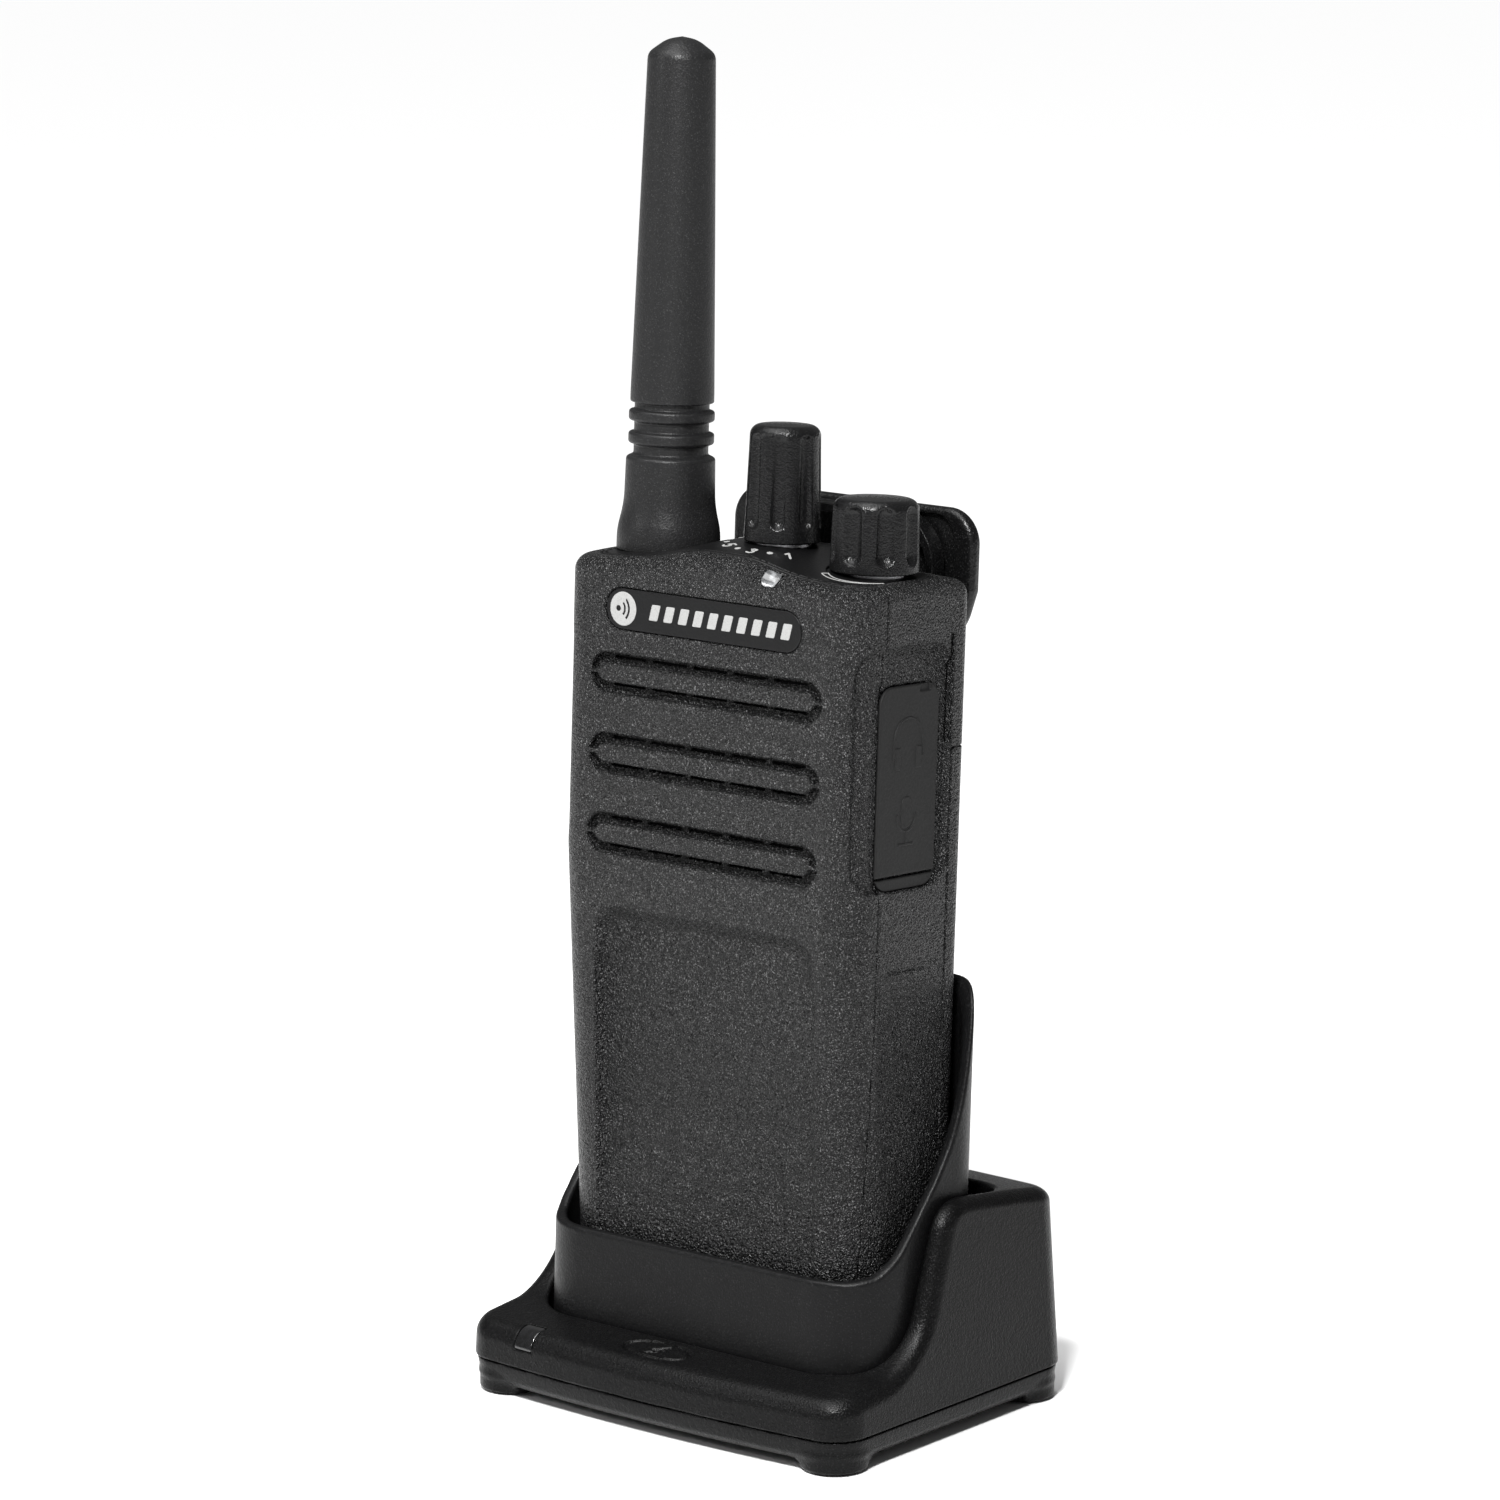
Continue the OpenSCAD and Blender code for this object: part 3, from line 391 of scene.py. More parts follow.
def side_recess(x, y, z):
    """How far inside the shallow recess of a side a point is; it wraps round the front corner."""
    turn = np.arctan2(5.3 - y, np.maximum(np.abs(x) - HALF_W + 5.3, 0.01))
    along = np.where(y < 5.3, 5.3 - 5.3 * turn, y)
    low, high = RECESS
    edge = rounded_box(along - 11.05, z - (low + high) / 2, 10.45, (high - low) / 2, 4.2)
    return np.where(np.abs(x) > 20, edge, 10.0)


def skin(x, y, z):
    """The outside with the shallow recesses pressed into it."""
    f = body(x, y, z) + RECESS_DEPTH * step(-side_recess(x, y, z) / 0.9)
    lower = rounded_box(x - 0.35, z - 20.4, 20.65, 41.9, 4.2)
    wide = 1.3 + 1.3 * step((z - 53) / 6)
    depth = 1.3 * step(-lower / wide) * step((z - 2) / 34)
    return f + np.where(y < 6.2, depth, 0)


def deck_cut(x, y, z, gap=0.0):
    outline = plan(x, y, HALF_W - 3 - gap, 3 + gap, 22.8 - gap, 4.2, 4.2)
    return np.maximum(np.maximum(outline, -(body(x, y, z) + 0.9 - gap)), TOP - 8 - z)


def grille(u, v):
    """One sound slot: the ring-shaped groove round a long pointed island, and its slits."""
    ring = rounded_box(u, v, 21.35, 2.92, 2.92)
    tip = (np.abs(u) - 20.4 + 0.9 * np.abs(v)) * 0.743
    island = both(np.abs(v) - 1.38, tip, 0.6)
    bridge = both(np.abs(v) - 0.28, 18 - np.abs(u), 0.1)
    groove = less(less(ring, island, 0.15), bridge, 0.1)
    slits = both(np.abs(np.abs(v - 0.3) - 2.0) - 0.18, np.abs(u) - 17.9)
    ribs = np.abs((u + 3.75) % 7.5 - 3.75) - 3.1
    return groove, both(slits, ribs)


def lens_shape(x, z, gap=0.0):
    return rounded_box(x - LENS_X, z - TOP - 3.1, 1.55 - gap, 5.0 - gap, 1.0)


def front_housing(x, y, z):
    """The front shell, with its sound slots, plate seat, lens seat and socket recess."""
    f = skin(x, y, z)
    s = body(x, y, z)
    near = y < 3.2
    for k in range(3):
        groove, slits = grille(x, z - SLOT_TOP + SLOT_PITCH * k)
        here = both(groove, -(s + 1.2), 0.25)
        f = less(f, np.where(near, here, 5.0), 0.28)
        f = np.maximum(f, -np.where(near, np.maximum(slits, -(s + 2.4)), 5.0))
    plate = rounded_box(x - PLATE_X, z - PLATE_Z, 18.2, 3.1, 3.1)
    f = less(f, np.where(near, np.maximum(plate, -(s + 0.42)), 5.0), 0.15)
    f = less(f, np.maximum(lens_shape(x, z), y - 2.2), 0.12)
    f = less(f, deck_cut(x, y, z), 0.2)
    f = less(f, block(x, y, z, (26.65, 5.8, 68.9), (40, 30, 98.2)), 0.12)
    f = both(f, y - SEAM_Y + 0.02, 0.12)
    return both(f, -(s + WALL), 0.1)


def key_shape(y, z, low, high, grow=0.0):
    return rounded_box(y - KEY_Y, z - (low + high) / 2, 5.8 + grow, (high - low) / 2 + grow,
                       1.4 + grow)


def rear_space(x, y, z, s):
    """The hollow of the rear housing, round the walls of the battery bay."""
    inner = np.maximum(s + WALL, -np.maximum(np.maximum(11.8 - y, -(12.8 - y)), z - 69.4))
    for low, high in (((20.2, 68.2), (21.9, 89.5)), ((22.4, 88), (24.2, TOP)),
                      ((11.8, 68.2), (21.7, 69.4)), ((20.2, 88.1), (24.2, 89.5))):
        inner = np.maximum(inner, -block(x, y, z, (-60, *low), (60, *high)))
    return inner


def rear_housing(x, y, z):
    """The rear shell, open for the battery door, the keys, the sockets and the controls."""
    f = skin(x, y, z)
    s = body(x, y, z)
    f = both(f, SEAM_Y + 0.02 - y, 0.12)
    f = less(f, np.maximum(DOOR_Y - y, z - DOOR_TOP - 0.36), 0.15)
    f = less(f, np.maximum(np.maximum(24.2 - y, np.abs(x) - 23.4), DOOR_TOP - z), 0.25)
    f = less(f, deck_cut(x, y, z), 0.2)
    cover = np.maximum(rounded_box(y - COVER_Y, z - 83.55, 6.7, 14.65, 2.8), 26.65 - x)
    f = less(f, cover, 0.12)
    slot = block(np.abs(x), y, z, (HALF_W - 1, 21.0, DOOR_TOP + 1.2), (40, 21.6, 104.6), 0.1)
    f = less(f, slot, 0.1)
    for low, high in KEYS.values():
        f = less(f, np.maximum(key_shape(y, z, low, high, 0.2), x + 24), 0.2)
    line = np.abs(z - 57.4 - 0.9 * step((y - 16) / 6)) - 0.16
    line = both(line, between(y, 8.6, 20.6))
    f = less(f, np.maximum(line, -(s + 0.14)), 0.1)
    bay = np.maximum(11.8 - y, z - 68.2)
    f = less(f, rear_space(x, y, z, s), 0.1)
    for height, r in SOCKETS:
        f = less(f, np.maximum(np.hypot(y - SOCKET_Y, z - height) - r, 22 - x), 0.1)
    f = np.maximum(f, -np.maximum(bay, s + 1.2))
    for centre in (CHANNEL_X, VOLUME_X):
        f = np.maximum(f, -np.maximum(np.hypot(x - centre, y - CONTROL_Y) - SHAFT_HOLE, 100 - z))
    antenna = np.hypot(x - ANTENNA_X, y - CONTROL_Y) - ANTENNA_HOLE
    return np.maximum(f, -np.maximum(antenna, 100 - z))


def deck_plate(x, y, z):
    s = body(x, y, z)
    outline = plan(x, y, HALF_W - 3.05, 3.05, 22.75, 4.15, 4.15)
    f = both(s, outline, 0.22)
    f = less(f, np.maximum(np.abs(outline + 0.62) - 0.1, -(s + 0.12)), 0.06)
    f = np.maximum(f, -(s + 0.85))
    f = np.maximum(f, TOP - 4 - z)
    for centre, base, r in ((VOLUME_X, VOLUME_BASE, 6.75), (ANTENNA_X, ANTENNA_BASE - 0.6, 7.65)):
        seat = np.maximum(np.hypot(x - centre, y - CONTROL_Y) - r, base - 0.12 - z)
        f = less(f, seat, 0.15)
    for centre in (CHANNEL_X, VOLUME_X):
        f = np.maximum(f, SHAFT_HOLE - np.hypot(x - centre, y - CONTROL_Y))
    return np.maximum(f, ANTENNA_HOLE - np.hypot(x - ANTENNA_X, y - CONTROL_Y))


def battery_door(x, y, z):
    """The back's lower part, with the seat of its latch."""
    s = body(x, y, z)
    f = both(s, DOOR_Y + 0.05 - y, 0.15)
    f = both(f, z - DOOR_TOP - 0.24, 0.15)
    f = less(f, block(x, y, z, (-7.2, 25.0, 3.4), (7.2, 30, 15.6), 0.6), 0.25)
    pad = np.maximum(np.maximum(np.abs(x) - 8.4, np.abs(z - 9.5) - 7.3), 24.2 - y)
    inner = np.maximum(np.maximum(s + WALL, z - DOOR_TOP + 1.4), -pad)
    return less(f, inner, 0.1)


def accessory_cover(x, y, z):
    outline = rounded_box(y - COVER_Y, z - 84.55, 6.6, 13.45, 2.6)
    square = rounded_box(y - COVER_Y, z - 76, 6.6, 4.9, 0.1)
    f = both(np.minimum(outline, square), between(x, COVER_SEAT, COVER_FACE), 0.22)
    f = less(f, block(x, y, z, (26.9, 14.7, 96.9), (30, 17.3, 100), 0.2), 0.12)
    return f - 0.13 * step(-symbols(y, z) / 0.12) * (x > 27.05)


def symbols(y, z):
    """A headset and a microphone, as raised outlines on the cover."""
    u = y - 12.4
    arch = np.abs(np.hypot(u, np.maximum(z - 90.2, 0)) - 3.2) - 0.2
    arch = np.maximum(arch, 87.6 - z)
    cups = rounded_box(np.abs(u) - 2.35, z - 87.7, 0.65, 1.6, 0.3)
    capsule_shape = np.hypot(u, np.maximum(np.abs(z - 80) - 1.1, 0)) - 1.15
    holder = np.abs(np.hypot(u, np.minimum(z - 79.4, 0)) - 2.1) - 0.2
    holder = np.maximum(holder, z - 79.8)
    stem = rounded_box(u, z - 76.4, 0.2, 0.95, 0.1)
    foot = rounded_box(u, z - 75.4, 1.7, 0.22, 0.1)
    return np.minimum.reduce([arch, cups, capsule_shape, holder, stem, foot])


def cover_anchor(x, y, z):
    outline = rounded_box(y - COVER_Y, z - 72.35, 6.6, 3.35, 2.6)
    f = both(outline, z - 70.75, 0.12)
    return both(f, between(x, COVER_SEAT, COVER_FACE), 0.2)


def side_key(low, high, grips):
    middle = (low + high) / 2

    def key(x, y, z):
        f = both(key_shape(y, z, low, high), between(x, -27.63, -25.7), 0.45)
        for i in range(grips):
            bar = rounded_box(y - KEY_Y, z - middle - (i - (grips - 1) / 2) * 3, 3.6, 0.45, 0.45)
            f = less(f, np.maximum(bar, x + 27.3), 0.15)
        flange = np.maximum(key_shape(y, z, low, high, 0.4), between(x, -25.9, -25.55))
        return np.minimum(f, flange)
    return key


# ---- knobs ----------------------------------------------------------------------------

def knob(centre, base, r, top_r, h, flute_r, reach, phase, bore_h):
    """A tapered knob with closed finger flutes, a domed top and the bore for its shaft."""
    def field(x, y, z):
        u, v, w = x - centre, y - CONTROL_Y, z - base
        far = np.hypot(u, v)
        wall = far - (r + (top_r - r) * np.clip(w / h, 0, 1))
        dome = w - h + 0.35 * (far / r) ** 2
        f = both(both(wall, dome, 1.4), -w, 0.3)
        a = 2 * math.pi / FLUTES
        turn = (np.arctan2(v, u) - math.radians(phase) + a / 2) % a - a / 2
        p, q = far * np.cos(turn), far * np.sin(turn)
        flute = capsule(p, q, w, r + flute_r * 0.32, 0, reach[0] + flute_r, h - reach[1] - flute_r,
                        flute_r)
        f = less(f, flute, 0.28)
        bore = np.maximum(far - SHAFT_BORE, w - bore_h)
        return np.maximum(f, -bore)
    return field


# ---- belt clip ------------------------------------------------------------------------

def clip_arm(x, y, z):
    """The belt clip's arm: a long tongue, a wide thumb tab with an arched rib, and knuckles."""
    tongue = rounded_box(x, z - 79, 9.6 + 0.02 * (z - 58), 21, 4.5)
    tab = rounded_box(x, z - 110.5, 22.4 - 0.32 * np.maximum(109 - z, 0), 10.1, 5.2)
    outline = either(tongue, tab, 9.0)
    f = both(outline, between(y, 31.8, 34.2), 1.05)
    hollow = rounded_box(x, z - 112.2, 18.6, 7.2, 3.4)
    f = less(f, np.maximum(hollow, y - 32.7), 0.6)
    arch = both(rounded_box(x, z - 110.0, 17.2, 9.6, 7.5), between(y, 29.2, 32.2))
    inside = rounded_box(x, z - 110.0, 15.9, 8.3, 6.3)
    f = either(f, both(less(arch, inside), y - 33, 0.2), 0.3)
    hook = both(between(x, -7, 7), np.maximum(58.3 - z, (z - 60.4) - (y - 26.6) * 0.6), 0.3)
    hook = both(hook, between(y, 26.6, 32.6), 0.5)
    f = either(f, hook, 0.6)
    pin = np.hypot(y - PIVOT_Y, z - PIVOT_Z)
    knuckle = both(pin - 2.3, between(np.abs(x), 4.6, 8.8), 0.3)
    web = block(np.abs(x), y, z, (4.6, 29.6, 99.7), (8.8, 32.2, 104.3), 0.2)
    f = either(f, np.minimum(knuckle, web), 0.4)
    f = np.maximum(f, 1.27 - pin)
    relief = block(np.abs(x), y, z, (8.85, 28, 98), (11.8, 32.7, 106), 0.2)
    return less(f, relief, 0.2)


def clip_bracket(x, y, z):
    plate = both(rounded_box(x, z - 100.0, 23.2, 11.3, 5.0), between(y, 24.3, 26.0), 0.5)
    side = np.abs(np.abs(x) - 10.2) - 1.2
    ear = rounded_box(y - 28.4, z - PIVOT_Z, 3.4, 2.6 + np.clip(31.8 - y, 0, 6) * 0.42, 1.6)
    f = either(plate, both(side, ear, 0.3), 0.5)
    f = np.maximum(f, 1.22 - np.hypot(y - PIVOT_Y, z - PIVOT_Z))
    for place in (-17, 17):
        r = np.hypot(x - place, z - 94)
        f = less(f, np.maximum(r - 1.8, 25.0 - y), 0.15)
        f = np.maximum(f, 1.1 - r)
    return f


# ---- cradle ---------------------------------------------------------------------------

def cradle_outline(x, y, inset):
    u = np.abs(x) - CRADLE_HALF[0] + inset
    v = np.abs(y) + 1.9 * (x / CRADLE_HALF[0]) ** 2 - CRADLE_HALF[1] + inset
    p, q = u + 5, v + 5
    return np.hypot(np.maximum(p, 0), np.maximum(q, 0)) + np.minimum(np.maximum(p, q), 0) - 5


def cradle_form(x, y, z, inset=0.0):
    """Platform, the S-shaped rise of the shoulders and the sloping back."""
    drafted = cradle_outline(x, y, inset + 1.2 * np.clip((z - SEAM_Z) / 30.9, 0, 1.2))
    platform = (z - 10.9 - 0.0974 * (y + 26.2) + inset) * 0.995
    rise = -(y + 8.95 - (z - 12.4) * 0.366 - inset * 1.1) * 0.939
    top = both(z - 35.1 + 0.0637 * (y + 0.4), (z - 33.9 + 0.24 * (y - 20)) * 0.97, 6.0) + inset
    shoulder = both(rise, top, 4.6)
    return both(drafted, either(platform, shoulder, 6.5), 2.6 if inset == 0 else 1.2)


def radio_frame(y, z):
    """World y and z as the radio's own y and z."""
    c, s = math.cos(LEAN), math.sin(LEAN)
    p, q = y - SEAT.y, z - SEAT.z
    return p * c - q * s, p * s + q * c


def insert_space(x, y, z, extra=0.0):
    ly, lz = radio_frame(y, z)
    half, front, back = INSERT
    gap = 0.5 + extra
    deep = np.maximum(plan(x, ly, half + gap, front - gap, back + gap, 10.4 + extra, 8.4 + extra),
                      -2.8 - extra - lz)
    wide = plan(x, y, half + gap, -12.0, 17.5 + extra, 2.0, 7.0 + extra)
    return np.minimum(deep, np.maximum(wide, 24 - extra - z))


def emblem(x, y):
    """A plain lightning bolt in an oval ring, sunk into the platform."""
    u, v = x - EMBLEM[0], y - EMBLEM[1]
    ring = np.abs(np.hypot(u / 2.2, v) - 2.6) - 0.32
    bolt = stroke([(1.1, 1.5), (-1.0, -0.15), (1.0, 0.15), (-1.1, -1.5)], 0.7)(u, v)
    return np.minimum(ring, bolt)


def cradle_top(x, y, z):
    f = cradle_form(x, y, z)
    f = less(f, insert_space(x, y, z), 0.7)
    ly, _ = radio_frame(y, z)
    window = both(np.abs(x) - 12.05, between(ly, 10.95, 17.05))
    f = np.maximum(f, -np.maximum(window, z - 12))
    f = f + 0.35 * step(-emblem(x, y) / 0.25) * (z > 9) * (y < -18.5)
    light = block(x, y, z, (-25, -40, 8.2), (-21.4, -23.8, 40), 0.2)
    f = less(f, light, 0.12)
    hollow = np.maximum(cradle_form(x, y, z, 1.9), -insert_space(x, y, z, 1.6))
    f = np.maximum(f, -hollow)
    f = less(f, np.maximum(np.hypot(x, z - 11.5) - 4.45, 20 - y), 0.3)
    return both(f, SEAM_Z + 0.04 - z, 0.25)


def cradle_bottom(x, y, z):
    inset = 0.25 + 0.45 * step((5 - z) / 3) + 0.9 * step((3.4 - z) / 1.8) ** 2
    f = both(both(cradle_outline(x, y, inset), z - SEAM_Z + 0.1, 0.15), 1.6 - z, 0.5)
    around = np.hypot(np.abs(x) - FOOT_X, y - np.where(y < 0, *FOOT_ROWS))
    boss = both(both(around - 4.9, cradle_outline(x, y, 0.4)), both(0.35 - z, z - 3), 0.4)
    f = both(either(f, boss, 1.2), cradle_outline(x, y, 0.25))
    tray = np.maximum(cradle_outline(x, y, 2.2), 2.8 - z)
    screws = [np.hypot(x - side * SCREW_X, y - row) for side in (-1, 1) for row in SCREW_ROWS]
    for r in screws:
        tray = np.maximum(tray, 3.6 - r)
    f = less(f, tray, 0.1)
    for r in screws:
        f = less(f, np.maximum(r - 2.4, z - 3.4), 0.15)
        f = np.maximum(f, 1.2 - r)
    for row in FOOT_ROWS:
        f = np.maximum(f, -np.maximum(np.hypot(np.abs(x) - FOOT_X, y - row) - 4.05, z - 2.2))
    return f


def rim_height(y):
    """Height of the insert's rim, from the low lip in front to the high back."""
    ys = (-5, 3, 6, 9, 13, 17, 20, 22.5, 24.5, 26, 27.2, 28.6, 31)
    zs = (13.5, 13.6, 14.4, 16.9, 21.8, 26.9, 31.6, 38, 44.6, 49.4, 52.3, 54.1, 54.5)
    even = np.linspace(-5, 31, 361)
    level = np.interp(even, ys, zs)
    window = np.hanning(25)
    padded = np.pad(level, 12, mode="edge")
    return np.interp(y, even, np.convolve(padded, window / window.sum(), "valid"))


def insert_shell(x, y, z):
    """The cup that holds the radio, with its swept rim and the window for the contacts."""
    half, front, back = INSERT
    outer = plan(x, y, half, front, back, 10.4, 8.4)
    inner = plan(x, y, half - INSERT_WALL, front + INSERT_WALL, back - INSERT_WALL, 8.7, 6.7)
    steep = np.gradient(rim_height(np.linspace(-5, 31, 361)), 0.1)
    fall = np.sqrt(1 + np.interp(y, np.linspace(-5, 31, 361), steep) ** 2)
    rim = (z - rim_height(y)) / fall
    wall = both(outer, -np.maximum(inner, -0.3 - z), 0.1)
    f = both(wall, rim, 0.6)
    f = both(f, -2.8 - z, 0.6)
    return np.maximum(f, -both(np.abs(x) - 12.45, between(y, 10.55, 17.45)))


def status_lens(x, y, z):
    return both(body(x, y, z) + 0.02, np.maximum(lens_shape(x, z, 0.06), y - 2.13), 0.2)


def cradle_lens(x, y, z):
    return both(cradle_form(x, y, z) + 0.03,
                block(x, y, z, (-24.94, -40, 8.26), (-21.46, -23.86, 40), 0.3), 0.2)


def name_plate(x, y, z):
    edge = rounded_box(x - PLATE_X, z - PLATE_Z, 18.05, 2.95, 2.95)
    return both(both(edge, body(x, y, z) + 0.14, 0.14), y - 0.5)


def badge(x, y, z):
    """A plain round badge with signal arcs, and a row of slanting bars, printed on the plate."""
    u, v = x + 15.6, z - PLATE_Z
    disc = np.hypot(u, v) - 2.45
    for r in (0.75, 1.5):
        arc = np.abs(np.hypot(u + 0.9, v) - r - 0.45) - 0.16
        disc = np.maximum(disc, -np.maximum(arc, np.abs(v) - (u + 0.9)))
    disc = np.maximum(disc, -(np.hypot(u + 0.9, v) - 0.42))
    lean = x - 0.25 * v
    bars = np.abs((lean + 0.25) % 2.7 - 1.35) - 0.8
    bars = np.maximum(both(bars, np.abs(v) - 1.15, 0.2), np.abs(lean - 2.45) - 13.2)
    print_shape = np.minimum(disc, bars)
    return both(both(print_shape, body(x, y, z) + 0.1, 0.02), -(body(x, y, z) + 0.3))


# ---- printed marks on the deck --------------------------------------------------------

def stroke(points, width):
    """Distance to a polyline of the given width, drawn flat in (u, v)."""
    def distance(u, v):
        best = None
        for (ax, ay), (bx, by) in zip(points, points[1:]):
            dx, dy = bx - ax, by - ay
            t = np.clip(((u - ax) * dx + (v - ay) * dy) / (dx * dx + dy * dy), 0, 1)
            d = np.hypot(u - ax - dx * t, v - ay - dy * t)
            best = d if best is None else np.minimum(best, d)
        return best - width / 2
    return distance


def arc(cx, cy, r, start, end, n=8):
    return [(cx + r * math.cos(math.radians(start + (end - start) * i / n)),
             cy + r * math.sin(math.radians(start + (end - start) * i / n))) for i in range(n + 1)]


FIGURES = {
    "1": [(-0.35, 0.35), (0.05, 0.7), (0.05, -0.7)],
    "3": arc(0, 0.33, 0.36, 150, -80) + arc(0, -0.33, 0.4, 80, -150),
    "5": [(0.38, 0.7), (-0.3, 0.7), (-0.34, 0.08)] + arc(0, -0.22, 0.44, 130, -140),
}


def channel_marks(x, y, z):
    """Figures and dots on an arc in front of the channel knob."""
    f = np.full(np.broadcast(x, y, z).shape, 9.0)
    for i, figure in enumerate(["1", None, "3", None, "5", None, None, None]):
        a = math.radians(FIRST_MARK - MARK_STEP * i)
        cx, cy = CHANNEL_X + MARK_RADIUS * math.cos(a), CONTROL_Y + MARK_RADIUS * math.sin(a)
        turn = a + math.pi / 2
        c, s = math.cos(turn), math.sin(turn)
        u, v = (x - cx) * c + (y - cy) * s, -(x - cx) * s + (y - cy) * c
        if figure:
            drawn = stroke(FIGURES[figure], 0.3)(u / FIGURE_SIZE, v / FIGURE_SIZE)
            f = np.minimum(f, drawn * FIGURE_SIZE)
        else:
            f = np.minimum(f, np.hypot(u, v) - DOT)
    return printed(f, x, y, z)


def volume_mark(x, y, z):
    """A thin wedge outline that widens towards the loud end, on an arc in front of the knob."""
    u, v = x - VOLUME_X, y - CONTROL_Y
    r, a = np.hypot(u, v), np.degrees(np.arctan2(v, u))
    t = np.clip((a + 122) / 82, 0, 1)
    middle = 7.3 + 0.6 * np.sin(math.pi * t)
    wedge = np.maximum(np.abs(r - middle) - 0.6 + 0.5 * t, (np.abs(a + 81) - 41) * 0.13)
    return printed(np.maximum(wedge, -(wedge + 0.2)), x, y, z)


def printed(outline, x, y, z):
    s = body(x, y, z)
    return np.maximum(np.maximum(outline, s - 0.04), -(s + 0.05))


# ---- materials ------------------------------------------------------------------------

def shader(name, color, rough, **sockets):
    """A new material with a coordinate node, and a helper that makes its nodes."""
    material = bpy.data.materials.new(name)
    material.use_nodes = True
    nodes, links = material.node_tree.nodes, material.node_tree.links
    surface_node = nodes["Principled BSDF"]
    surface_node.inputs["Base Color"].default_value = (*color, 1)
    surface_node.inputs["Roughness"].default_value = rough
    for socket, value in sockets.items():
        surface_node.inputs[socket.replace("_", " ")].default_value = value
    place = nodes.new("ShaderNodeTexCoord")

    def make(kind, **values):
        node = nodes.new("ShaderNode" + kind)
        for key, value in values.items():
            if hasattr(node, key):
                setattr(node, key, value)
            else:
                node.inputs[key.replace("_", " ")].default_value = value
        return node

    def noise(scale, detail=2.0, roughness=0.5, stretch=None):
        node = make("TexNoise", Scale=scale, Detail=detail, Roughness=roughness)
        source = place.outputs["Object"]
        if stretch:
            mapping = make("Mapping")
            mapping.inputs["Scale"].default_value = stretch
            links.new(source, mapping.inputs["Vector"])
            source = mapping.outputs["Vector"]
        links.new(source, node.inputs["Vector"])
        return node

    def ranged(source, low, high, out_low, out_high):
        node = make("MapRange")
        for socket, value in zip(("From Min", "From Max", "To Min", "To Max"),
                                 (low, high, out_low, out_high)):
            node.inputs[socket].default_value = value
        links.new(source, node.inputs["Value"])
        return node.outputs["Result"]

    def bumped(source, distance, strength=1.0, under=None):
        node = make("Bump", Strength=strength, Distance=distance)
        links.new(source, node.inputs["Height"])
        if under:
            links.new(under, node.inputs["Normal"])
        return node.outputs["Normal"]

    def mixed(factor, a, b):
        node = make("Mix", data_type="RGBA")
        colors = [s for s in node.inputs if s.type == "RGBA"]
        colors[0].default_value, colors[1].default_value = (*a, 1), (*b, 1)
        links.new(factor, node.inputs["Factor"])
        return [s for s in node.outputs if s.type == "RGBA"][0]

    tools = dict(make=make, noise=noise, ranged=ranged, bumped=bumped, mixed=mixed)
    return material, surface_node, links, place, tools


def moulded(name, color, grain, rough, grain_scale, grain_depth, glint_paint=0.0, shine=0.22):
    """Textured black plastic: eroded grain, uneven sheen, rubbed patches, and pale specks painted
    into the colour as glints.
    """
    material, out, links, _, t = shader(name, color, rough, Specular_IOR_Level=shine)
    fine = t["noise"](grain_scale, 1.0, 0.5).outputs["Fac"]
    coarse = t["noise"](grain_scale * 0.41, 1.0, 0.5).outputs["Fac"]
    patch = t["noise"](38, 3.0, 0.55).outputs["Fac"]
    under = t["bumped"](coarse, grain_depth * 0.7)
    links.new(t["bumped"](fine, grain_depth, 1.0, under), out.inputs["Normal"])
    uneven = t["make"]("Math", operation="ADD")
    links.new(t["ranged"](fine, 0.3, 0.7, grain, -grain), uneven.inputs[0])
    links.new(t["ranged"](patch, 0.35, 0.7, rough + 0.02, rough - 0.035),
              uneven.inputs[1])
    links.new(uneven.outputs[0], out.inputs["Roughness"])
    # Painted glints: pale specks are mixed into the base colour where a fine noise peaks. They
    # stand in for the grain's sparkle under the key light. The same pale colour also gives slight
    # random rubbed patches.
    pale_wear_and_glint = tuple(c * 2 + 0.16 for c in color)
    glint_spots = t["noise"](grain_scale * 1.5, 1.0, 0.5).outputs["Fac"]
    rubbed_and_glints = t["make"]("Math", operation="ADD", use_clamp=True)
    links.new(t["ranged"](patch, 0.45, 0.8, 0, 0.01), rubbed_and_glints.inputs[0])
    links.new(t["ranged"](glint_spots, 0.6, 0.72, 0, glint_paint), rubbed_and_glints.inputs[1])
    links.new(t["mixed"](rubbed_and_glints.outputs[0], color, pale_wear_and_glint), out.inputs["Base Color"])
    return material


def metal(name, color, rough):
    """Bare metal with fine lines left by its making."""
    material, out, links, _, t = shader(name, color, rough, Metallic=1.0)
    lines = t["noise"](900, 3.0, 0.6, (1, 1, 40)).outputs["Fac"]
    links.new(t["ranged"](lines, 0.3, 0.7, rough - 0.08, rough + 0.12), out.inputs["Roughness"])
    links.new(t["bumped"](lines, 0.00002), out.inputs["Normal"])
    return material


def lens_material(name, color):
    """Clear glossy plastic over a frosted, milky light pipe."""
    material, out, links, _, t = shader(name, color, 0.12, Coat_Weight=0.6,
                                            Coat_Roughness=0.04)
    cloud = t["noise"](700, 3.0, 0.6).outputs["Fac"]
    dark = tuple(c * 0.3 for c in color)
    links.new(t["mixed"](t["ranged"](cloud, 0.42, 0.58, 0, 1), color, dark),
              out.inputs["Base Color"])
    links.new(t["ranged"](cloud, 0.3, 0.7, 0.08, 0.22), out.inputs["Roughness"])
    links.new(t["bumped"](cloud, 0.00002), out.inputs["Normal"])
    return material


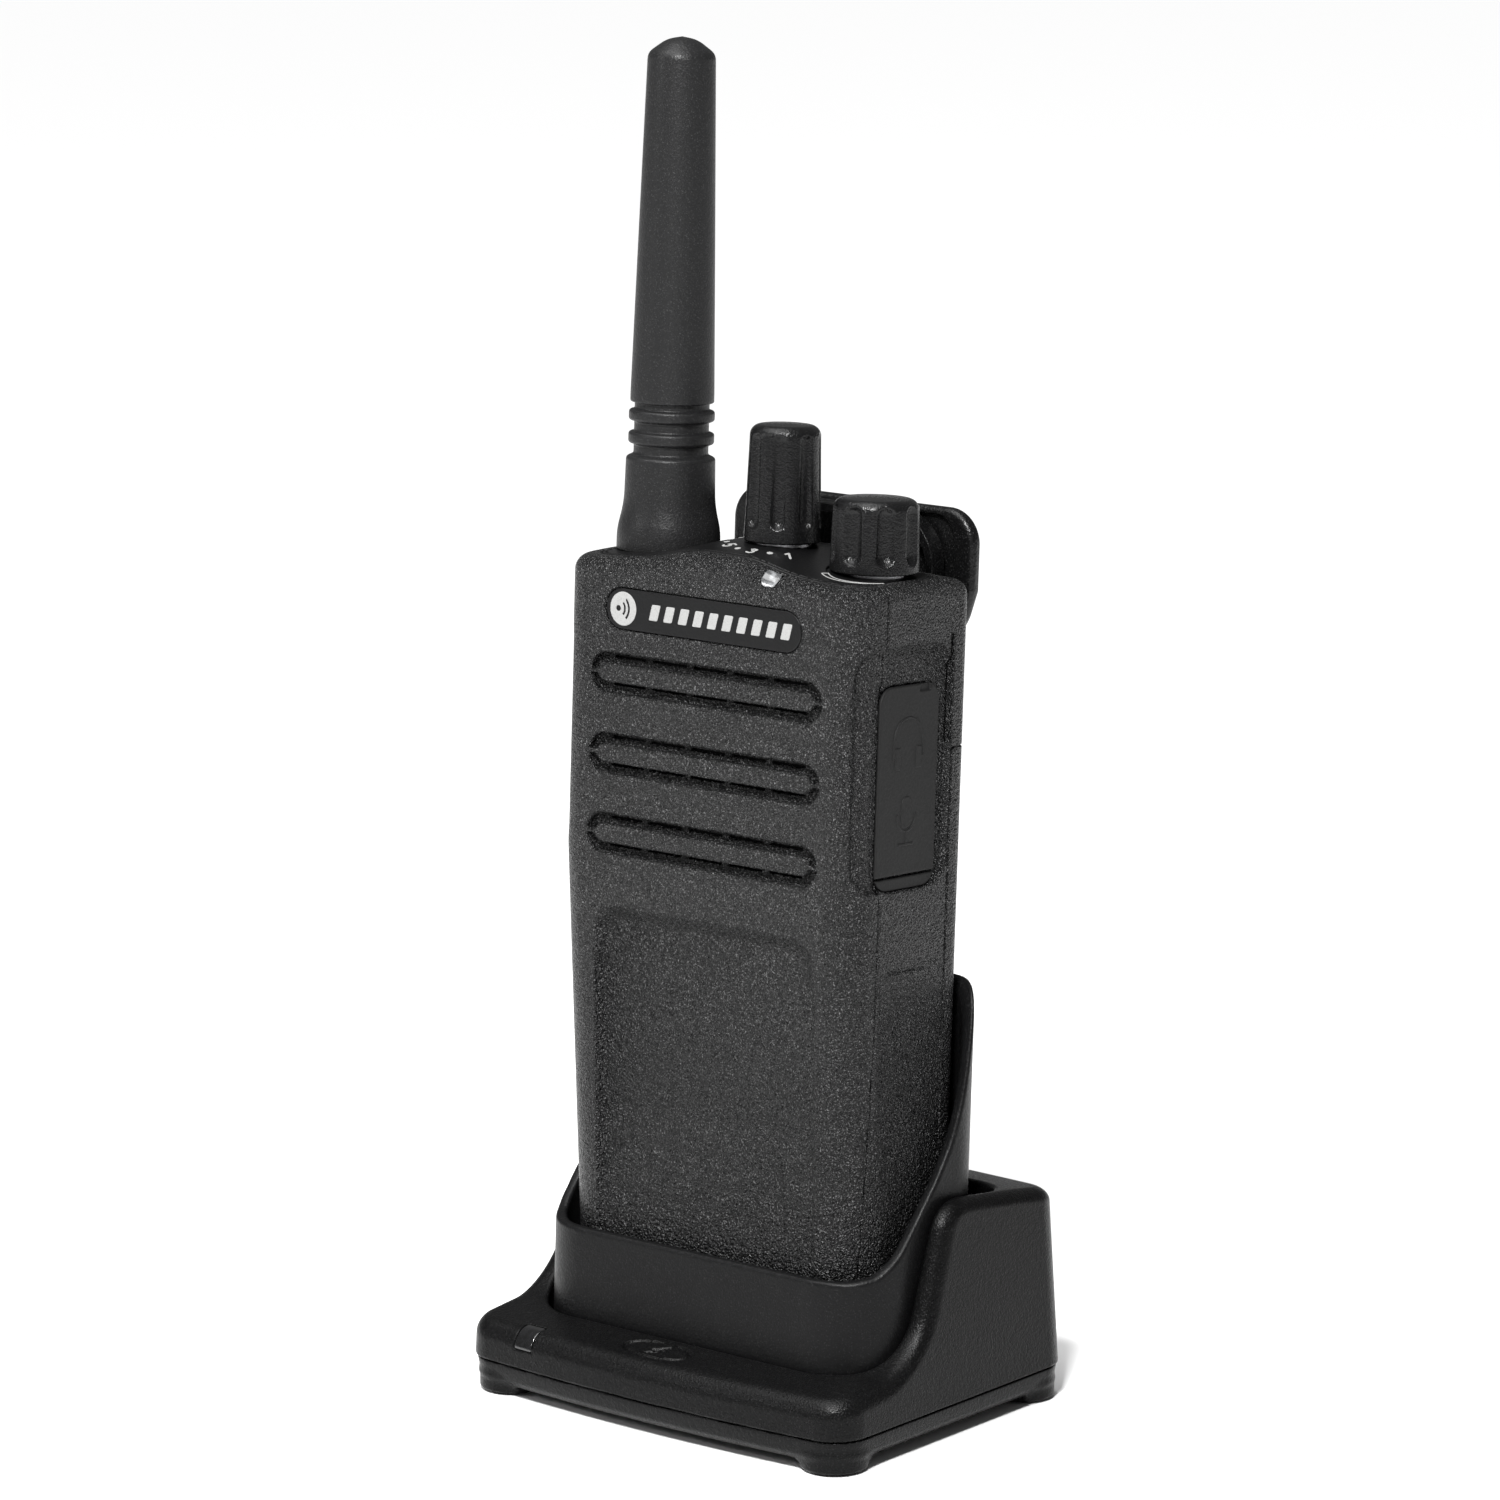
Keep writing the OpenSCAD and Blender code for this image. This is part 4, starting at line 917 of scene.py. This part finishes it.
def ink(name, color):
    material, out, links, _, t = shader(name, color, 0.5)
    grit = t["noise"](5200, 2.0, 0.6).outputs["Fac"]
    worn = tuple(c * 0.72 for c in color)
    links.new(t["mixed"](t["ranged"](grit, 0.5, 0.75, 0, 1), color, worn),
              out.inputs["Base Color"])
    links.new(t["ranged"](grit, 0.3, 0.7, 0.4, 0.6), out.inputs["Roughness"])
    links.new(t["bumped"](grit, 0.00001), out.inputs["Normal"])
    return material


def board(name, color):
    """Solder mask with copper tracks showing through it."""
    material, out, links, place, t = shader(name, color, 0.35)
    tracks = t["make"]("TexVoronoi", Scale=260.0, feature="DISTANCE_TO_EDGE", distance="MANHATTAN")
    links.new(place.outputs["Object"], tracks.inputs["Vector"])
    edge = t["ranged"](tracks.outputs["Distance"], 0.05, 0.1, 1, 0)
    links.new(t["mixed"](edge, color, tuple(c * 2.2 + 0.01 for c in color)),
              out.inputs["Base Color"])
    links.new(t["bumped"](edge, 0.00003), out.inputs["Normal"])
    links.new(t["ranged"](tracks.outputs["Distance"], 0, 0.3, 0.3, 0.45), out.inputs["Roughness"])
    return material


def floor_material():
    material, out, links, _, t = shader("floor_paper", (0.9, 0.9, 0.9), 0.85)
    grain = t["noise"](900, 3.0, 0.6).outputs["Fac"]
    links.new(t["bumped"](grain, 0.00002), out.inputs["Normal"])
    links.new(t["ranged"](grain, 0.3, 0.7, 0.8, 0.9), out.inputs["Roughness"])
    return material


# In these plastics the speck strength sets painted glints: pale specks in the base colour that
# stand in for the grain's sparkle under the key light.
LOOKS = {
    "housing_plastic": moulded("housing_plastic", (0.004, 0.004, 0.0042), 0.14, 0.3,
                               3200, 0.00055, glint_paint=0.7),
    "deck_plastic": moulded("deck_plastic", (0.003, 0.003, 0.0032), 0.04, 0.36, 3400, 0.00002),
    "knob_plastic": moulded("knob_plastic", (0.0045, 0.0045, 0.0047), 0.05, 0.22, 4200, 0.00008,
                            glint_paint=0.04),
    "key_rubber": moulded("key_rubber", (0.007, 0.007, 0.007), 0.05, 0.6, 2600, 0.00004),
    "antenna_rubber": moulded("antenna_rubber", (0.009, 0.009, 0.0093), 0.06, 0.42, 3400,
                              0.00005, glint_paint=0.12),
    "clip_plastic": moulded("clip_plastic", (0.002, 0.002, 0.0021), 0.06, 0.32, 2900, 0.00007,
                            glint_paint=0.1),
    "cradle_plastic": moulded("cradle_plastic", (0.0022, 0.0022, 0.0023), 0.08, 0.34, 3800,
                              0.00007, glint_paint=0.08, shine=0.1),
    "insert_plastic": moulded("insert_plastic", (0.0035, 0.0035, 0.0037), 0.06, 0.4, 3000,
                              0.00005, glint_paint=0.06, shine=0.13),
    "foot_rubber": moulded("foot_rubber", (0.004, 0.004, 0.004), 0.04, 0.7, 1800, 0.00005),
    "lens_clear": lens_material("lens_clear", (0.2, 0.205, 0.21)),
    "lens_smoke": lens_material("lens_smoke", (0.006, 0.006, 0.0065)),
    "jack_plastic": moulded("jack_plastic", (0.005, 0.005, 0.005), 0.03, 0.2, 2600, 0.000008),
    "board_green": board("board_green", (0.012, 0.075, 0.03)),
    "speaker_black": moulded("speaker_black", (0.003, 0.003, 0.003), 0.05, 0.75, 2000, 0.00006),
    "bright_metal": metal("bright_metal", (0.62, 0.62, 0.64), 0.28),
    "contact_gold": metal("contact_gold", (0.85, 0.62, 0.27), 0.22),
    "battery_wrap": moulded("battery_wrap", (0.02, 0.028, 0.07), 0.04, 0.22, 900, 0.00002),
}
PRINT = ink("deck_print", (0.3, 0.3, 0.295))


# ---- pieces on their bodies -----------------------------------------------------------

def put(piece, body_name, slot, *nodes, look=None):
    """Gives a piece its finish, its body and the CAD nodes that it stands for."""
    piece.data.materials.clear()
    piece.data.materials.append(look or LOOKS[slot])
    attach(piece, body_name)
    if nodes:
        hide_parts(*nodes)
    return piece


def make_housings():
    xs = spaced(-28.4, 28.4, 0.3)
    front = (xs, spaced(-0.6, 7.0, 0.2), spaced(-0.6, 116.2, 0.55, (66, 116.2, 0.2)))
    put(surface("front_shell", front_housing, front, keep=0.25), "radio", "housing_plastic",
        "front_housing")
    rear = (xs, spaced(5.8, 26.6, 0.42), spaced(-0.6, 116, 0.55, (68, 105, 0.35)))
    put(surface("rear_shell", rear_housing, rear, keep=0.35), "radio", "housing_plastic",
        "rear_housing")
    deck = [spaced(-25.4, 25.4, 0.24), spaced(2.4, 23.4, 0.24), spaced(107.5, 116, 0.24)]
    put(surface("deck_panel", deck_plate, deck, keep=0.6), "radio", "deck_plastic",
        "top_deck_plate")
    margin = 0.6
    door = [spaced(-28 - margin, 28 + margin, 0.55), spaced(21.7 - margin, 26 + margin, 0.55),
            spaced(0 - margin, 88 + margin, 0.55)]
    put(surface("battery_cover", battery_door, door, keep=0.5), "radio", "housing_plastic",
        "battery_door")


def make_front_details():
    plate = [spaced(-19.4, 18, 0.22), spaced(-0.3, 1.2, 0.08), spaced(101.6, 108.8, 0.2)]
    put(surface("label_plate", name_plate, plate, keep=0.5), "radio", "deck_plastic",
        "name_plate")
    marks = [spaced(-18.6, 16.2, 0.11), spaced(-0.15, 0.75, 0.05), spaced(102.3, 108, 0.11)]
    put(surface("label_mark", badge, marks), "radio", None, look=PRINT)
    lens = [spaced(9.5, 12.1, 0.1), spaced(-0.4, 2.6, 0.1), spaced(109.8, 115.4, 0.1)]
    put(surface("status_light", status_lens, lens), "radio", "lens_clear", "status_lens")
    ring = [spaced(-7.8, 11.0, 0.1), spaced(4.2, 14.2, 0.1), spaced(112.8, 116, 0.06)]
    put(surface("channel_figures", channel_marks, ring), "radio", None, look=PRINT)
    wedge = [spaced(13, 26.5, 0.09), spaced(5, 10.4, 0.09), spaced(111.4, 114, 0.06)]
    put(surface("volume_wedge", volume_mark, wedge), "radio", None, look=PRINT)


def make_knobs():
    channel = (CHANNEL_X, CHANNEL_BASE, (5.55, 5.05), 16.8, (1.35, (2.0, 0.9), -58.5, 13.0))
    volume = (VOLUME_X, VOLUME_BASE, (6.35, 6.05), 10.6, (1.6, (1.2, 0.6), -37.5, 8.2))
    for name, row in (("channel", channel), ("volume", volume)):
        centre, base, radii, height, flutes = row
        reach = radii[0] + 0.4
        lines = [spaced(centre - reach, centre + reach, 0.15),
                 spaced(CONTROL_Y - reach, CONTROL_Y + reach, 0.15),
                 spaced(base - 0.4, base + height + 0.4, 0.15)]
        dial = surface(name + "_dial", knob(centre, base, *radii, height, *flutes), lines, keep=0.8)
        put(dial, name + "_control", "knob_plastic", name + "_knob")


def make_antenna():
    """A ribbed foot, two rings and the long tapered sheath."""
    profile = filleted([
        (3.3, 112.35), (7.5, 112.35, 0.15), (7.5, 115.2, 1.5), (6.6, 118.9, 3), (6.45, 125.7, 0.35),
        (5.4, 126.2, 0.3), (5.4, 127.6, 0.3), (6.2, 127.75, 0.5), (6.2, 129.3, 0.5),
        (5.4, 129.45, 0.3), (5.4, 130.9, 0.3), (6.2, 131.05, 0.5), (6.2, 132.5, 0.5),
        (5.4, 132.65, 0.3), (5.4, 133.6, 0.1), (6.05, 133.7, 0.25), (6.05, 135, 1),
        (5.5, 158, 10), (4.87, 183.6, 0.9), (2.2, 185.6, 2), (0, 186.0)])
    profile = [(0, 112.35)] + profile
    piece = lathe("antenna_body", profile, seated, (ANTENNA_X, CONTROL_Y, 0), 160)
    put(piece, "radio", "antenna_rubber", "antenna_sheath")


def make_side_details():
    cover = [spaced(26.4, 28.2, 0.09), spaced(5.6, 19.5, 0.14), spaced(70.8, 98.4, 0.14)]
    put(surface("side_cover", accessory_cover, cover, keep=0.6), "cover", "key_rubber",
        "accessory_cover")
    anchor = [spaced(26.4, 28.0, 0.12), spaced(5.6, 19.5, 0.2), spaced(68.6, 71.1, 0.12)]
    put(surface("side_cover_anchor", cover_anchor, anchor, keep=0.6), "radio", "key_rubber",
        "cover_anchor")
    for name, node, body_name, grips in (("ptt", "ptt_button", "ptt_key", 3),
                                         ("upper", "side_button_upper", "upper_key", 1),
                                         ("lower", "side_button_lower", "lower_key", 1)):
        low, high = KEYS[name]
        lines = [spaced(-28, -25.2, 0.14), spaced(6.9, 19.9, 0.2),
                 spaced(low - 0.8, high + 0.8, 0.2)]
        put(surface(name + "_pad", side_key(low, high, grips), lines, keep=0.6), body_name,
            "key_rubber", node)


def make_clip():
    arm = [spaced(-22.2, 22.2, 0.32), spaced(26, 34.9, 0.25), spaced(57.4, 122.2, 0.32)]
    put(surface("clip_lever", clip_arm, arm, keep=0.5), "clip_arm", "clip_plastic",
        "belt_clip_arm")
    bracket = [spaced(-24, 24, 0.32), spaced(23.8, 32.6, 0.25), spaced(88, 112, 0.32)]
    put(surface("clip_base", clip_bracket, bracket, keep=0.5), "radio", "clip_plastic",
        "belt_clip_bracket")


def make_cradle():
    lines = [spaced(-36.8, 36.8, 0.42), spaced(-29, 29, 0.42), spaced(4.8, 36.6, 0.36)]
    put(surface("cradle_upper", cradle_top, lines, standing, keep=0.5), "cradle",
        "cradle_plastic", "cradle_top_shell")
    lines = [spaced(-36.8, 36.8, 0.45), spaced(-29, 29, 0.45), spaced(0, 5.6, 0.2)]
    put(surface("cradle_lower", cradle_bottom, lines, standing, keep=0.5), "cradle",
        "cradle_plastic", "cradle_bottom_shell")
    lines = [spaced(-32.2, 32.2, 0.36), spaced(0, 30.3, 0.36), spaced(-3.4, 55.3, 0.34)]
    put(surface("cradle_cup", insert_shell, lines, keep=0.5), "insert", "insert_plastic",
        "cradle_insert")
    lines = [spaced(-25.3, -21.1, 0.12), spaced(-28.8, -23.5, 0.12), spaced(7.9, 12.2, 0.12)]
    put(surface("cradle_light", cradle_lens, lines, standing), "cradle", "lens_smoke",
        "cradle_status_lens")


def finish_carried_nodes():
    """CAD nodes that keep their shape get the detailed finish of their material slot."""
    for node in frame["nodes"].values():
        for slot in node.material_slots:
            name = slot.material.name.split(".")[0] if slot.material else ""
            if name in LOOKS:
                slot.material = LOOKS[name]


# ---- floor, light and camera ----------------------------------------------------------

SKY, OVERHEAD = 0.17, 3.1                # strength of the white sky and of the soft top light
VIEW_PLACE = (0.5576, -0.6646, 0.2731)   # the camera, in metres
VIEW_ANGLES = (40.1, 11.56, 0.48)        # degrees to the left, down, and of roll
SENSOR, FOCAL = 36, 148.5                # millimetres
FLOOR_HALF = 6.0                         # metres

def make_floor():
    mesh = bpy.data.meshes.new("studio_floor")
    corners = [(a * FLOOR_HALF, b * FLOOR_HALF, 0) for a, b in ((-1, -1), (1, -1), (1, 1), (-1, 1))]
    mesh.from_pydata(corners, [], [(0, 1, 2, 3)])
    floor = bpy.data.objects.new("studio_floor", mesh)
    bpy.context.scene.collection.objects.link(floor)
    mesh.materials.append(floor_material())


def soft_box(name, place, size, power, aim):
    """A rectangular lamp of the given size in metres, turned to face aim."""
    data = bpy.data.lights.new(name, "AREA")
    data.shape = "RECTANGLE"
    data.size, data.size_y = size
    data.energy = power
    lamp = bpy.data.objects.new(name, data)
    bpy.context.scene.collection.objects.link(lamp)
    lamp.location = place
    lamp.rotation_euler = (Vector(aim) - Vector(place)).to_track_quat("-Z", "Y").to_euler()


def make_light():
    world = bpy.data.worlds.new("studio")
    bpy.context.scene.world = world
    world.use_nodes = True
    backdrop = world.node_tree.nodes["Background"]
    backdrop.inputs["Color"].default_value = (1, 1, 1, 1)
    backdrop.inputs["Strength"].default_value = SKY
    data = bpy.data.lights.new("overhead", "SUN")
    data.energy, data.angle = OVERHEAD, math.radians(50)
    lamp = bpy.data.objects.new("overhead", data)
    bpy.context.scene.collection.objects.link(lamp)
    lamp.rotation_euler = (math.radians(14), math.radians(-10), 0)
    soft_box("key_light", (0.27, -0.46, 0.66), (0.1, 0.1), 9.5, (0, 0, 0.13))
    soft_box("left_light", (-0.55, -0.75, 0.5), (0.1, 0.14), 1.5, (0, 0, 0.09))
    bpy.context.scene.view_settings.view_transform = "Standard"


def make_camera():
    """The camera stands at the front right, a little above, and looks down at the radio."""
    turn, down, roll = (math.radians(angle) for angle in VIEW_ANGLES)
    forward = Vector((-math.sin(turn) * math.cos(down), math.cos(turn) * math.cos(down),
                      -math.sin(down)))
    level = Vector((math.cos(turn), math.sin(turn), 0))
    below = forward.cross(level)
    right = level * math.cos(roll) + below * math.sin(roll)
    up = level * math.sin(roll) - below * math.cos(roll)
    data = bpy.data.cameras.new("camera")
    data.sensor_width, data.lens = SENSOR, FOCAL
    camera = bpy.data.objects.new("camera", data)
    bpy.context.scene.collection.objects.link(camera)
    facing = Matrix((right, up, -forward)).transposed().to_4x4()
    camera.matrix_world = Matrix.Translation(VIEW_PLACE) @ facing
    bpy.context.scene.camera = camera


make_housings()
make_front_details()
make_knobs()
make_antenna()
make_side_details()
make_clip()
make_cradle()
finish_carried_nodes()
make_floor()
make_light()
make_camera()
